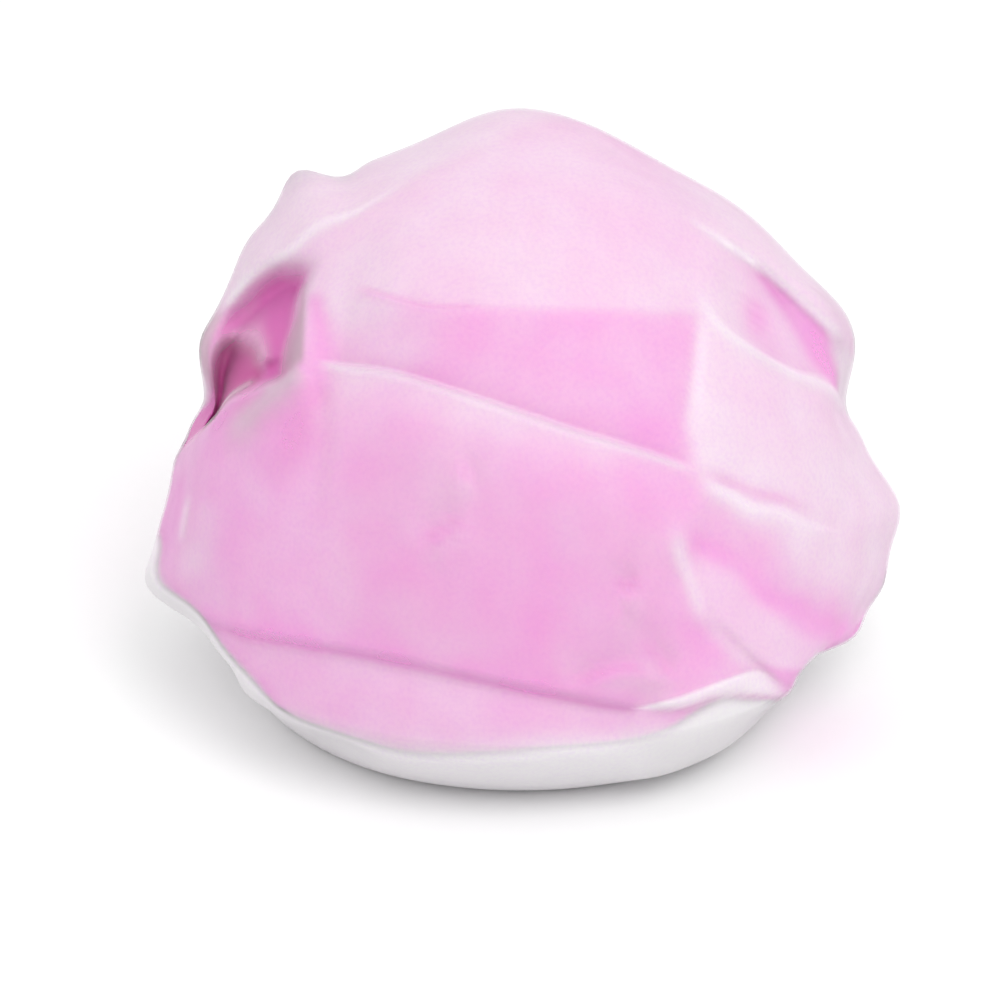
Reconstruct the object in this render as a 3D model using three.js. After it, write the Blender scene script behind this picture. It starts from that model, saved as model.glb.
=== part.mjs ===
// Shower cap: a frosted film bag over a cloth lining, gathered together on one elastic hem.
// Millimetres, +Z up through the crown, nape side towards -Y. The cap keeps the form it has when worn,
// and stands on the flat of its bottom fold. The origin is under the middle of the cap, on the floor.
import * as THREE from "three";

// Driving dimensions of the bag
const CAP_WIDTH = 280; // ear to ear, across the girth
const CAP_DEPTH = 270; // nape to brow
const CAP_HEIGHT = 224; // floor to crown
const GIRTH_HEIGHT = 40; // the widest ring, above the floor
const FILM_THICKNESS = 0.2;
const LINING_THICKNESS = 0.3;
const LINING_GAP = 2; // air between film and lining over the dome
const LINING_LIFT = 26; // the lining's own bottom fold hangs this high above the floor

// Driving dimensions of the hem
const HEM_RADIUS = 78; // head opening, as stretched on a head
const HEM_TOP = 40; // the hem is drawn up inside the bottom fold
const HEM_ALLOWANCE = 5; // turned edge below the elastic, where it is sewn
const POUCH = 12; // the film bags out this far round the hem before it reaches the floor
const FOOT_FLAT = 6; // width of the ring that lies flat on the floor
const ELASTIC_WIDTH = 6;
const ELASTIC_THICKNESS = 0.8;
const THREAD = 0.4;
const CLEARANCE = 0.3;

// Driving counts
const COLUMNS = 32;
const CROWN_STEPS = 3; // rings from the top to the edge of the crown
const GIRTH_STEPS = 4; // rings from the waist tuck to the girth
const FOLD_STEPS = 3;
const RISE_STEPS = 2;
const TURN_STEPS = 2;
const STITCHES_PER_COLUMN = 3;
const TACK_STITCHES = 6;
const THREAD_SIDES = 6;

// Gathers and folds
const PLEAT_DEPTH = 4; // height of the gathers under the bag, which die out towards the hem
const CREASE_BLEND = 6; // a tuck passes from its high side to its low side within this distance of its line
const CREASE_END = 24; // a crease fades out over this length past its ends
const SIDE_BLEND = 30; // the nape's creases give way to the brow's over this depth on each side of the ears
const TUCK_HALF = 4.5; // a ring of the cloth follows the waist tuck at this distance on each side of it
const CROWN_TURN = THREE.MathUtils.degToRad(36); // edge of the crown, as an angle down from the top
const EASY_WAIST = THREE.MathUtils.degToRad(50); // the same rings over the ears, where there is no tuck
const VIEW_TILT = THREE.MathUtils.degToRad(27); // the creases are drawn on a plane leaned back this far

// Sizes that follow
const DEPTH_RATIO = CAP_DEPTH / CAP_WIDTH;
const HALF_WIDTH = CAP_WIDTH / 2;
const COLUMN_ANGLE = (2 * Math.PI) / COLUMNS;
const HEM_WALL = HEM_RADIUS + FILM_THICKNESS / 2;
// The hem's channel holds the two lapped ends of the elastic and the thread that tacks them.
const HEM_TURN = (FILM_THICKNESS + 2 * ELASTIC_THICKNESS + THREAD + 4 * CLEARANCE) / 2;
const TURNED_EDGE = HEM_WALL + 2 * HEM_TURN;
const FOOT_INNER = TURNED_EDGE + POUCH;
const FOOT_RADIUS = FOOT_INNER + FOOT_FLAT;
const ELASTIC_TOP = HEM_TOP - FILM_THICKNESS / 2 - HEM_TURN;
const ELASTIC_MIDDLE = ELASTIC_TOP - ELASTIC_WIDTH / 2;
const ELASTIC_BOTTOM = ELASTIC_TOP - ELASTIC_WIDTH;
const HEM_BOTTOM = ELASTIC_BOTTOM - HEM_ALLOWANCE;
const VIEW_COS = Math.cos(VIEW_TILT);
const VIEW_SIN = Math.sin(VIEW_TILT);
// How far the plain form reaches above and below its girth on the leaned-back plane
const REACH_UP = Math.hypot((CAP_HEIGHT - GIRTH_HEIGHT) * VIEW_COS, (CAP_DEPTH / 2) * VIEW_SIN);
const REACH_DOWN = GIRTH_HEIGHT * VIEW_COS + FOOT_RADIUS * DEPTH_RATIO * VIEW_SIN;

// Creases, drawn on a plane that faces the nape or the brow. A point is [across, up], as shares of the
// form's own reach. Above and below are [rise, reach] in mm on the two sides of the line: how far the
// cloth stands out beside the line, and how far from it that fades.
const NAPE_WAIST = [[-0.56, 0.45], [-0.1, 0.385], [0.455, 0.225]];
const BROW_WAIST = [[-0.55, 0.36], [0, 0.44], [0.52, 0.3]];
const NAPE_CREASES = [
  // waist tuck from the left hollow to the right side
  { line: NAPE_WAIST, above: [-7, 26], below: [1, 20] },
  // front edge of the crown
  { line: [[-0.5, 0.57], [0, 0.59], [0.46, 0.55]], above: [6, 45], below: [6, 18] },
  // deep hollow at the left end of the waist
  { line: [[-0.57, 0.58], [-0.82, 0.43]], above: [-24, 22], below: [-20, 20] },
  // ridge over the left hollow, up to the crown
  { line: [[-0.82, 0.57], [-0.61, 0.67], [-0.39, 0.83]], above: [4, 18], below: [4, 12] },
  // hollow on the right
  { line: [[0.58, 0.61], [0.71, 0.53], [0.87, 0.4]], above: [-16, 18], below: [-14, 18] },
  // rim of the lower lobe under the right hollow
  { line: [[0.52, 0.56], [0.64, 0.46], [0.88, 0.36]], above: [3, 10], below: [4, 30] },
  // valley across the lower right side
  { line: [[0.43, 0.08], [0.64, -0.07], [0.94, -0.31]], above: [-7, 18], below: [-7, 18] },
  // bottom crease, where the front turns under
  { line: [[-0.87, -0.22], [-0.3, -0.4], [0.3, -0.57]], above: [2, 36], below: [-5, 18] },
];
const BROW_CREASES = [
  // waist tuck
  { line: BROW_WAIST, above: [-8, 26], below: [3, 24] },
  // front edge of the crown
  { line: [[-0.43, 0.59], [-0.07, 0.64], [0.34, 0.57]], above: [6, 36], below: [6, 16] },
  // hollow at the right end of the waist
  { line: [[0.57, 0.52], [0.82, 0.36]], above: [-12, 18], below: [-12, 16] },
  // bottom crease
  { line: [[-0.8, -0.25], [-0.2, -0.45], [0.5, -0.4]], above: [3, 36], below: [-6, 16] },
  // valley across the lower right side
  { line: [[0.4, 0.12], [0.66, -0.04], [0.92, -0.26]], above: [-9, 15], below: [-9, 15] },
  // ridge up the left shoulder
  { line: [[-0.8, 0.5], [-0.56, 0.68], [-0.32, 0.82]], above: [4, 16], below: [4, 12] },
  // valley across the lower left side
  { line: [[-0.45, 0.14], [-0.7, 0], [-0.95, -0.12]], above: [-9, 15], below: [-9, 15] },
];

// Corners and notches of the outline seen from the nape: [degrees round from the right, spread in degrees, mm]
const OUTLINE = [
  [10, 6, 4],
  [25, 6, -7],
  [36, 5, 5],
  [104, 9, -5],
  [120, 6, 9],
  [150, 7, -9],
  [167, 7, -5],
  [190, 7, -12],
  [206, 8, -8],
  [305, 10, 4],
  [332, 10, -9],
  [352, 7, -8],
];
const OUTLINE_START = 0.7; // share of the reach where corners and notches begin

// How the bottom fold turns under, as two shares [inward, down] of the way from the girth to the foot: it hangs
// slack over the ears, and bellies out at the nape and the brow
const SLACK_TURN = [[0.15, 0.35], [0.7, 0.7]];
const FULL_TURN = [[0.1, 0.4], [0.6, 0.8]];
// Cosines of the angle from nape or brow, between which slack gives way to full, and plain sides to the tuck
const BELLY = [0.35, 0.85];

const { smoothstep } = THREE.MathUtils;

// A point on the plan: the ring of this radius, at this angle round from the nape
function onRing(radius, angle, height) {
  return new THREE.Vector3(radius * Math.sin(angle), -radius * Math.cos(angle) * DEPTH_RATIO, height);
}

// Radius of the faceted ring at an angle: the film has COLUMNS flat sides
function facetRadius(radius, angle) {
  const withinFacet = THREE.MathUtils.euclideanModulo(angle, COLUMN_ANGLE) - COLUMN_ANGLE / 2;
  return (radius * Math.cos(COLUMN_ANGLE / 2)) / Math.cos(withinFacet);
}

// A drawn line in mm on its plane
function drawn(line) {
  return line.map(([u, v]) => [u * HALF_WIDTH, v * (v > 0 ? REACH_UP : REACH_DOWN)]);
}

// Height of a drawn line at a place across its plane; past its ends it stays level
function lineHeight(points, across) {
  const next = points.findIndex(([x]) => x > across);
  if (next < 1) return next === 0 ? points[0][1] : points.at(-1)[1];
  const [[ax, ay], [bx, by]] = [points[next - 1], points[next]];
  return THREE.MathUtils.mapLinear(across, ax, bx, ay, by);
}

// Angle down from the crown at which a column of the plain film meets a line drawn on the nape or the brow
function turnAtLine(line, angle, facing) {
  const points = drawn(line);
  let [above, below] = [0, Math.PI / 2];
  while (below - above > 1e-6) {
    const turn = (above + below) / 2;
    const rise = (CAP_HEIGHT - GIRTH_HEIGHT) * Math.cos(turn);
    const place = onRing(HALF_WIDTH * Math.sin(turn), angle, rise);
    const up = rise * VIEW_COS + facing * place.y * VIEW_SIN;
    if (up > lineHeight(points, facing * place.x)) above = turn;
    else below = turn;
  }
  return above;
}

// Angles down from the crown of the dome's rings at one column
function domeTurns(angle) {
  const facing = Math.sign(Math.cos(angle)) || 1;
  const tuck = turnAtLine(facing > 0 ? NAPE_WAIST : BROW_WAIST, angle, facing);
  const waist = THREE.MathUtils.lerp(EASY_WAIST, tuck, smoothstep(Math.abs(Math.cos(angle)), ...BELLY));
  const half = TUCK_HALF / (CAP_HEIGHT - GIRTH_HEIGHT);
  const over = Array.from({ length: CROWN_STEPS + 1 }, (_, i) => (CROWN_TURN * i) / CROWN_STEPS);
  const under = Array.from({ length: GIRTH_STEPS + 1 }, (_, i) => (
    THREE.MathUtils.lerp(waist + half, Math.PI / 2, i / GIRTH_STEPS)
  ));
  return [...over, waist - half, ...under];
}

// Half section of a bag: crown, dome, bottom fold, floor, and the rise to the hem. Points are (radius, height).
function bagProfile(gap, bottom, hemPoint, turn, turns) {
  const girth = HALF_WIDTH - gap;
  const crown = CAP_HEIGHT - gap - GIRTH_HEIGHT;
  const dome = turns.map((down) => (
    new THREE.Vector2(girth * Math.sin(down), GIRTH_HEIGHT + crown * Math.cos(down))
  ));
  const towardFoot = (inward, down) => new THREE.Vector2(
    THREE.MathUtils.lerp(girth, FOOT_RADIUS, inward),
    THREE.MathUtils.lerp(GIRTH_HEIGHT, bottom, down),
  );
  const fold = new THREE.CubicBezierCurve(
    towardFoot(0, 0), towardFoot(...turn[0]), towardFoot(...turn[1]), towardFoot(1, 1),
  );
  const rise = new THREE.QuadraticBezierCurve(
    new THREE.Vector2(FOOT_INNER, bottom),
    new THREE.Vector2(hemPoint.x, bottom),
    hemPoint,
  );
  return [
    ...dome,
    ...fold.getPoints(FOLD_STEPS).slice(1),
    ...rise.getPoints(RISE_STEPS),
  ];
}

// The film goes on up the hem, turns over the elastic and comes down on the lining's side.
function filmProfile(turn, turns) {
  const overElastic = new THREE.EllipseCurve(
    HEM_WALL + HEM_TURN, ELASTIC_TOP, HEM_TURN, HEM_TURN, Math.PI, 0, true,
  );
  return [
    ...bagProfile(0, FILM_THICKNESS / 2, new THREE.Vector2(HEM_WALL, HEM_BOTTOM), turn, turns),
    ...overElastic.getPoints(TURN_STEPS),
    new THREE.Vector2(TURNED_EDGE, HEM_BOTTOM),
  ];
}

// The lining passes under the turned edge and ends inside the hem, against the elastic.
function liningProfile(turn, turns) {
  const inHem = HEM_WALL + HEM_TURN;
  const entry = new THREE.Vector2(inHem, HEM_BOTTOM - CLEARANCE - LINING_THICKNESS);
  return [
    ...bagProfile(LINING_GAP, LINING_LIFT, entry, turn, turns),
    new THREE.Vector2(inHem, ELASTIC_BOTTOM - CLEARANCE),
  ];
}

// Signed distance from a crease and how far past its ends, both in mm on the drawing plane
function fromCrease(crease, across, up) {
  const points = drawn(crease.line);
  let nearest = { distance: Infinity };
  for (let i = 0; i + 1 < points.length; i++) {
    const [ax, ay] = points[i];
    const [bx, by] = points[i + 1];
    const length = Math.hypot(bx - ax, by - ay);
    const along = ((across - ax) * (bx - ax) + (up - ay) * (by - ay)) / length;
    const side = ((bx - ax) * (up - ay) - (by - ay) * (across - ax)) / length;
    const past = Math.max(-along, along - length, 0);
    const distance = Math.hypot(side, past);
    if (distance < nearest.distance) nearest = { distance, side, past };
  }
  return nearest;
}

// How far the creases of one face stand out at a point of the drawing plane
function creaseRise(creases, across, up) {
  return creases.reduce((sum, crease) => {
    const { side, past } = fromCrease(crease, across, up);
    const share = smoothstep(side, -CREASE_BLEND, CREASE_BLEND);
    const [aboveRise, aboveReach] = crease.above;
    const [belowRise, belowReach] = crease.below;
    const above = aboveRise * Math.exp(-((side / aboveReach) ** 2));
    const below = belowRise * Math.exp(-((side / belowReach) ** 2));
    const fade = Math.exp(-((past / CREASE_END) ** 2));
    return sum + fade * (share * above + (1 - share) * below);
  }, 0);
}

// How far the outline stands out or is notched at a point of the drawing plane
function outlineShift(across, up) {
  const angle = THREE.MathUtils.euclideanModulo(THREE.MathUtils.radToDeg(Math.atan2(up, across)), 360);
  const reach = Math.hypot(across / HALF_WIDTH, up / (up > 0 ? REACH_UP : REACH_DOWN));
  const sum = OUTLINE.reduce((total, [at, spread, out]) => {
    const turn = THREE.MathUtils.euclideanModulo(angle - at + 180, 360) - 180;
    return total + out * Math.exp(-((turn / spread) ** 2));
  }, 0);
  return sum * smoothstep(reach, OUTLINE_START, 1);
}

// The cloth is free to fold over the dome, and is held at the hem and by the floor.
function freedom(radius, height) {
  const outside = smoothstep(radius, TURNED_EDGE, FOOT_RADIUS);
  const dome = smoothstep(height, HEM_TOP + ELASTIC_WIDTH, HEM_TOP + CAP_HEIGHT / 4);
  return Math.max(outside, dome) * smoothstep(height, 0, GIRTH_HEIGHT / 2);
}

// How the folds move a point of the plain bag
function drape(point, radius) {
  const rise = point.z - GIRTH_HEIGHT;
  const up = rise * VIEW_COS + point.y * VIEW_SIN;
  const towardNape = rise * VIEW_SIN - point.y * VIEW_COS;
  const upFromBrow = rise * VIEW_COS - point.y * VIEW_SIN;
  const napeShare = smoothstep(towardNape, -SIDE_BLEND, SIDE_BLEND);
  const nape = creaseRise(NAPE_CREASES, point.x, up) * napeShare;
  const brow = creaseRise(BROW_CREASES, -point.x, upFromBrow) * (1 - napeShare);
  const out = outlineShift(point.x, up);
  const spread = Math.max(Math.hypot(point.x, up), 1);
  const moved = new THREE.Vector3(
    (out * point.x) / spread,
    (out * up * VIEW_SIN) / spread + (brow - nape) * VIEW_COS,
    (out * up * VIEW_COS) / spread + (brow + nape) * VIEW_SIN,
  );
  return moved.multiplyScalar(freedom(radius, point.z));
}

// Gathers that run from the hem to the floor, under the bag
function pleat(radius, height, angle) {
  const inside = THREE.MathUtils.clamp((radius - HEM_WALL) / (FOOT_INNER - HEM_WALL), 0, 1);
  const under = Math.sin(Math.PI * inside) * Math.max(1 - height / HEM_BOTTOM, 0);
  return PLEAT_DEPTH * under * Math.cos((COLUMNS / 2) * angle);
}

// A bag's half section at each column, from slack over the ears to full at the nape and the brow
function sectionsRound(profileOf) {
  return Array.from({ length: COLUMNS }, (_, column) => {
    const angle = column * COLUMN_ANGLE;
    const turns = domeTurns(angle);
    const full = profileOf(FULL_TURN, turns);
    const fullness = smoothstep(Math.abs(Math.cos(angle)), ...BELLY);
    return profileOf(SLACK_TURN, turns).map((station, i) => station.lerp(full[i], fullness));
  });
}

// Rings of points of a bag, folded as the film is at the same place
function drapedRings(sections, film) {
  return sections[0].map((_, i) => sections.map((section, column) => {
    const angle = column * COLUMN_ANGLE;
    const [station, leader] = [section[i], film[column][i]];
    const point = onRing(station.x, angle, station.y);
    point.z += pleat(station.x, station.y, angle);
    return point.add(drape(onRing(leader.x, angle, leader.y), leader.x));
  }));
}

// One skin through the rings, closed at the crown and open at the last ring. Each four-sided patch is cut along
// the diagonal that is shorter on the film, so that film and lining bend at the same places.
function skinGeometry(rings, film) {
  const [crown, ...others] = rings;
  const points = [crown[0], ...others.flat()];
  const at = (ring, column) => 1 + ring * COLUMNS + (column % COLUMNS);
  const index = [];
  for (let column = 0; column < COLUMNS; column++) {
    const next = (column + 1) % COLUMNS;
    index.push(0, at(0, column), at(0, next));
    for (let ring = 0; ring + 1 < others.length; ring++) {
      const [a, b, c, d] = [at(ring, column), at(ring + 1, column), at(ring + 1, next), at(ring, next)];
      const [upper, lower] = [film[ring + 1], film[ring + 2]];
      const fromFirst = upper[column].distanceTo(lower[next]);
      const fromSecond = lower[column].distanceTo(upper[next]);
      index.push(...(fromFirst < fromSecond ? [a, b, c, a, c, d] : [a, b, d, b, c, d]));
    }
  }
  const skin = new THREE.BufferGeometry().setFromPoints(points);
  skin.setIndex(index);
  skin.computeVertexNormals();
  return skin;
}

// A closed sheet of even thickness on both sides of a skin. Where it touches the floor it lies flat.
function sheetGeometry(rings, film, thickness) {
  const skin = skinGeometry(rings, film);
  const middle = skin.getAttribute("position");
  const normals = skin.getAttribute("normal");
  const points = [];
  for (const side of [0.5, -0.5]) {
    for (let i = 0; i < middle.count; i++) {
      const normal = new THREE.Vector3().fromBufferAttribute(normals, i);
      const point = new THREE.Vector3().fromBufferAttribute(middle, i);
      point.addScaledVector(normal, side * thickness);
      if (point.z < thickness / 2) point.z = 0;
      points.push(point);
    }
  }
  const outer = Array.from(skin.index.array);
  const index = [...outer];
  for (let i = 0; i < outer.length; i += 3) {
    index.push(middle.count + outer[i], middle.count + outer[i + 2], middle.count + outer[i + 1]);
  }
  const edge = middle.count - COLUMNS;
  for (let column = 0; column < COLUMNS; column++) {
    const a = edge + column;
    const b = edge + ((column + 1) % COLUMNS);
    index.push(a, a + middle.count, b + middle.count);
    index.push(a, b + middle.count, b);
  }
  const sheet = new THREE.BufferGeometry().setFromPoints(points);
  sheet.setIndex(index);
  sheet.computeVertexNormals();
  return sheet;
}

// A line round the hem, sampled at even angles so that its points fall on the film's columns
class HemCurve extends THREE.Curve {
  constructor(fromAngle, toAngle, radiusAt, heightAt) {
    super();
    Object.assign(this, { fromAngle, toAngle, radiusAt, heightAt });
  }

  getPoint(t) {
    const angle = THREE.MathUtils.lerp(this.fromAngle, this.toAngle, t);
    return onRing(this.radiusAt(angle), angle, this.heightAt(t));
  }

  getUtoTmapping(u) {
    return u;
  }
}

function rectangle(width, height) {
  const shape = new THREE.Shape();
  shape.moveTo(-width / 2, -height / 2);
  shape.lineTo(width / 2, -height / 2);
  shape.lineTo(width / 2, height / 2);
  shape.lineTo(-width / 2, height / 2);
  return shape;
}

function threadSection() {
  const shape = new THREE.Shape();
  shape.absarc(0, 0, THREAD / 2, 0, 2 * Math.PI);
  return shape;
}

// Flat elastic, once round the hem's channel, with its ends lapped side by side by one column
function elasticGeometry() {
  const inner = HEM_WALL + FILM_THICKNESS / 2 + CLEARANCE + ELASTIC_THICKNESS / 2;
  const lap = ELASTIC_THICKNESS + CLEARANCE;
  const path = new HemCurve(
    0,
    2 * Math.PI + COLUMN_ANGLE,
    (angle) => inner + lap * smoothstep(angle, COLUMN_ANGLE, 2 * Math.PI),
    () => ELASTIC_MIDDLE,
  );
  return new THREE.ExtrudeGeometry(rectangle(ELASTIC_WIDTH, ELASTIC_THICKNESS), {
    steps: COLUMNS + 1,
    extrudePath: path,
  });
}

// Zigzag of thread along a stretch of the hem, each stitch going once up and once down
function zigzagGeometry(fromAngle, toAngle, stitches, radius, middle, height) {
  const steps = 2 * stitches;
  const path = new HemCurve(
    fromAngle,
    toAngle,
    (angle) => facetRadius(radius, angle),
    (t) => middle + (Math.round(t * steps) % 2 ? 1 : -1) * (height / 2),
  );
  return new THREE.ExtrudeGeometry(threadSection(), {
    steps,
    extrudePath: path,
    curveSegments: THREAD_SIDES / 2,
  });
}

// Thread that closes the hem under the elastic, on the side that faces the neck. It ends one stitch short of
// its start.
function hemStitchingGeometry() {
  const stitches = COLUMNS * STITCHES_PER_COLUMN;
  const stitchAngle = COLUMN_ANGLE / STITCHES_PER_COLUMN;
  const radius = HEM_RADIUS - CLEARANCE - THREAD / 2;
  const middle = HEM_BOTTOM + HEM_ALLOWANCE / 2;
  return zigzagGeometry(0, 2 * Math.PI - stitchAngle, stitches - 1, radius, middle, HEM_ALLOWANCE / 2);
}

// Thread that tacks the lapped ends of the elastic together
function bartackGeometry() {
  const elasticOut = HEM_WALL + FILM_THICKNESS / 2 + 2 * (CLEARANCE + ELASTIC_THICKNESS);
  const radius = elasticOut + CLEARANCE + THREAD / 2;
  const margin = COLUMN_ANGLE / 4;
  return zigzagGeometry(
    margin, COLUMN_ANGLE - margin, TACK_STITCHES, radius, ELASTIC_MIDDLE, ELASTIC_WIDTH / 2,
  );
}

function piece(name, geometry, material) {
  const mesh = new THREE.Mesh(geometry, new THREE.MeshStandardMaterial(material));
  mesh.name = name;
  return mesh;
}

const FROSTED = { color: 0xf1ecef, roughness: 0.45, metalness: 0, transparent: true, opacity: 0.5 };
const PINK_CLOTH = { color: 0xf0a6dd, roughness: 0.85, metalness: 0 };
const WHITE_ELASTIC = { color: 0xf4f2f0, roughness: 0.8, metalness: 0 };
const WHITE_THREAD = { color: 0xf7f3f5, roughness: 0.7, metalness: 0 };

const filmSections = sectionsRound(filmProfile);
const filmRings = drapedRings(filmSections, filmSections);
const liningRings = drapedRings(sectionsRound(liningProfile), filmSections);

const cap = new THREE.Group();
cap.add(
  piece("outer_film", sheetGeometry(filmRings, filmRings, FILM_THICKNESS), FROSTED),
  piece("lining", sheetGeometry(liningRings, filmRings, LINING_THICKNESS), PINK_CLOTH),
  piece("elastic_band", elasticGeometry(), WHITE_ELASTIC),
  piece("elastic_bartack", bartackGeometry(), WHITE_THREAD),
  piece("hem_stitching", hemStitchingGeometry(), WHITE_THREAD),
);

// The folds are uneven, so the cap is set with the middle of its box over the origin.
const middle = new THREE.Box3().setFromObject(cap).getCenter(new THREE.Vector3());
cap.position.set(-middle.x, -middle.y, 0);

const showerCap = new THREE.Group();
showerCap.name = "shower_cap";
showerCap.add(cap);

export default showerCap;
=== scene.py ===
# %% [markdown]
# # A loose shower cap
# The cap is two thin bags, one inside the other, gathered on one elastic hem: a frosted plastic film
# outside and a pink cloth lining inside. What the eye reads is how the film stands off the pink: where
# they touch the colour is deep, and where air comes between them the film turns milky. So the folds
# come first here, and the colour follows from them.

import math
from collections import namedtuple

import bpy
import numpy as np
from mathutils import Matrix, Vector, noise


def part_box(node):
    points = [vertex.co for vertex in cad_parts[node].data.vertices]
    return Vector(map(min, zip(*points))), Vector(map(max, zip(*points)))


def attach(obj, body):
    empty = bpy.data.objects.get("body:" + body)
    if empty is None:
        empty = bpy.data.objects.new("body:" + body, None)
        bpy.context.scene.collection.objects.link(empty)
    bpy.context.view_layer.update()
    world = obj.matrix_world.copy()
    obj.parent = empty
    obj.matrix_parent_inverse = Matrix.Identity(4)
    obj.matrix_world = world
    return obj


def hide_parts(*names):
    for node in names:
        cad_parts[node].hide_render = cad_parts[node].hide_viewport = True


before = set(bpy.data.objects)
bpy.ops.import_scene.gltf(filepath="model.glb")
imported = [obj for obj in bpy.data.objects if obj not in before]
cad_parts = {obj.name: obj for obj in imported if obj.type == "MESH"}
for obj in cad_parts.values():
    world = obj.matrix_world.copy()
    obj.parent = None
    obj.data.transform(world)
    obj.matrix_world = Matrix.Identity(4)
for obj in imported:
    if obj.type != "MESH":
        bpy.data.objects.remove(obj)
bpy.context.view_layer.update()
bpy.ops.object.select_all(action="DESELECT")
MM = 0.001
stitching_low, stitching_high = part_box("hem_stitching")
AXIS = (stitching_low + stitching_high) / 2
AXIS.z = 0.0
print("the cap's axis stands at", [round(v * 1000, 1) for v in AXIS], "mm")

# %% [markdown]
# ## The sizes of the cap
# The bag is a dome that turns under at the bottom and rises to a hem inside, where an elastic draws it
# in. These are the sizes that the solids have too, in millimetres. Lengths become metres only when a
# mesh is made.

# %% Sizes of the bag
CAP_WIDTH = 280.0
CAP_DEPTH = 270.0
CAP_HEIGHT = 224.0
GIRTH_HEIGHT = 40.0
FILM_THICKNESS = 0.2
LINING_THICKNESS = 0.3
LINING_LIFT = 26.0
LINING_GAP = 1.5
HEM_RADIUS = 78.0
HEM_TOP = 40.0
HEM_ALLOWANCE = 5.0
POUCH = 12.0
FOOT_FLAT = 6.0
ELASTIC_WIDTH = 6.0
ELASTIC_THICKNESS = 0.8
THREAD = 0.4
CLEARANCE = 0.3
HALF_WIDTH = CAP_WIDTH / 2
DEPTH_RATIO = CAP_DEPTH / CAP_WIDTH
HEM_WALL = HEM_RADIUS + FILM_THICKNESS / 2
HEM_TURN = (FILM_THICKNESS + 2 * ELASTIC_THICKNESS + THREAD + 4 * CLEARANCE) / 2
TURNED_EDGE = HEM_WALL + 2 * HEM_TURN
FOOT_INNER = TURNED_EDGE + POUCH
FOOT_RADIUS = FOOT_INNER + FOOT_FLAT
ELASTIC_TOP = HEM_TOP - FILM_THICKNESS / 2 - HEM_TURN
ELASTIC_BOTTOM = ELASTIC_TOP - ELASTIC_WIDTH
HEM_BOTTOM = ELASTIC_BOTTOM - HEM_ALLOWANCE
print("hem from", round(HEM_BOTTOM, 1), "to", HEM_TOP, "mm, foot", round(FOOT_RADIUS, 1), "mm from the axis")

# %% [markdown]
# ## Lines drawn on the film
# Crumpled film is made of crests, tucks and hollows. A cloth simulation gives folds, but not these
# folds, so they are drawn instead, on a plane that faces the nape and leans back by the angle of view.
# A line is a few points with a smooth curve through them, in millimetres across and up from the middle
# of the girth.

# %% Line helpers
TILT = math.radians(27)
TILT_COS, TILT_SIN = math.cos(TILT), math.sin(TILT)


def smoothstep(value, low, high):
    """Nought below the low value, one above the high value, and a soft step between them."""
    share = np.clip((value - low) / max(high - low, 1e-9), 0.0, 1.0)
    return share * share * (3.0 - 2.0 * share)


def smooth_line(points, steps=8):
    """A smooth line through the drawn points."""
    drawn = np.array(points, float)
    ends = np.vstack([2 * drawn[0] - drawn[1], drawn, 2 * drawn[-1] - drawn[-2]])
    t = np.linspace(0.0, 1.0, steps, endpoint=False)[:, None]
    parts = []
    for a, b, c, d in zip(ends[:-3], ends[1:-2], ends[2:-1], ends[3:]):
        bend = (2 * a - 5 * b + 4 * c - d) * t**2 + (3 * (b - c) + d - a) * t**3
        parts.append(0.5 * (2 * b + (c - a) * t + bend))
    return np.vstack([*parts, drawn[-1:]])


def beside(line, across, up):
    """Distance to the left side of a line, negative on its right, the way along it, and its length."""
    nearest = np.full(across.shape, np.inf)
    side, along, run = np.zeros_like(across), np.zeros_like(across), 0.0
    for (ax, ay), (bx, by) in zip(line[:-1], line[1:]):
        length = math.hypot(bx - ax, by - ay)
        ux, uy = (bx - ax) / length, (by - ay) / length
        forward = (across - ax) * ux + (up - ay) * uy
        left = ux * (up - ay) - uy * (across - ax)
        distance = np.hypot(left, np.maximum(np.maximum(-forward, forward - length), 0.0))
        closer = distance < nearest
        nearest[closer] = distance[closer]
        side[closer] = np.copysign(distance, left)[closer]
        along[closer] = run + np.clip(forward, 0.0, length)[closer]
        run += length
    return side, along, run


def on_plane(points, facing):
    """Across, up and towards the viewer, for a viewer at the nape (facing 1) or at the brow (facing -1)."""
    rise = points[..., 2] - GIRTH_HEIGHT
    return (
        points[..., 0] * facing,
        rise * TILT_COS + points[..., 1] * TILT_SIN * facing,
        rise * TILT_SIN - points[..., 1] * TILT_COS * facing,
    )


print("lines are drawn on a plane leaned back by", round(math.degrees(TILT)), "degrees")

# %% [markdown]
# ## The lines of the nape side
# These are the creases and edges that the cap shows from behind. They are drawn once and used three
# times: for the rows of the grid, for the shape of the film and for its milkiness, so that light and
# colour break along the same line. Most lines run from left to right. A line that bounds a hollow or a
# patch has the inside of it on its left.

# %% Lines of the nape
WAIST = [(-76, 79.5), (-65, 77.5), (-45, 74.5), (-15, 65), (15, 55), (45, 46), (65, 39)]
CROWN_EDGE = [(-68, 109), (-34, 99.5), (0, 98), (40, 97), (66, 97)]
LEFT_CREST = [(-118, 84), (-113, 98), (-105, 106), (-91, 114), (-75, 126), (-54, 139), (-38, 149)]
POCKET_WALL = [(-85, 60), (-85, 76), (-84, 84), (-83, 92), (-81.5, 103), (-79, 110), (-76, 118)]
POCKET_SLOPE = [
    (-68, 113), (-82, 113), (-89, 112), (-97, 107), (-108, 98),
    (-113, 89), (-116, 80), (-123, 71), (-138, 62),
]
POCKET_RIM = [
    (-138, 47), (-124, 56), (-114, 63.5), (-107, 67.5), (-98, 71), (-89, 73.5), (-82.5, 77.5), (-70, 84),
]
ROLL_TOP = [(-116, 81), (-113.5, 85), (-110.3, 88), (-104.5, 89.2), (-99, 86.8), (-96.5, 83), (-96, 77)]
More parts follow.
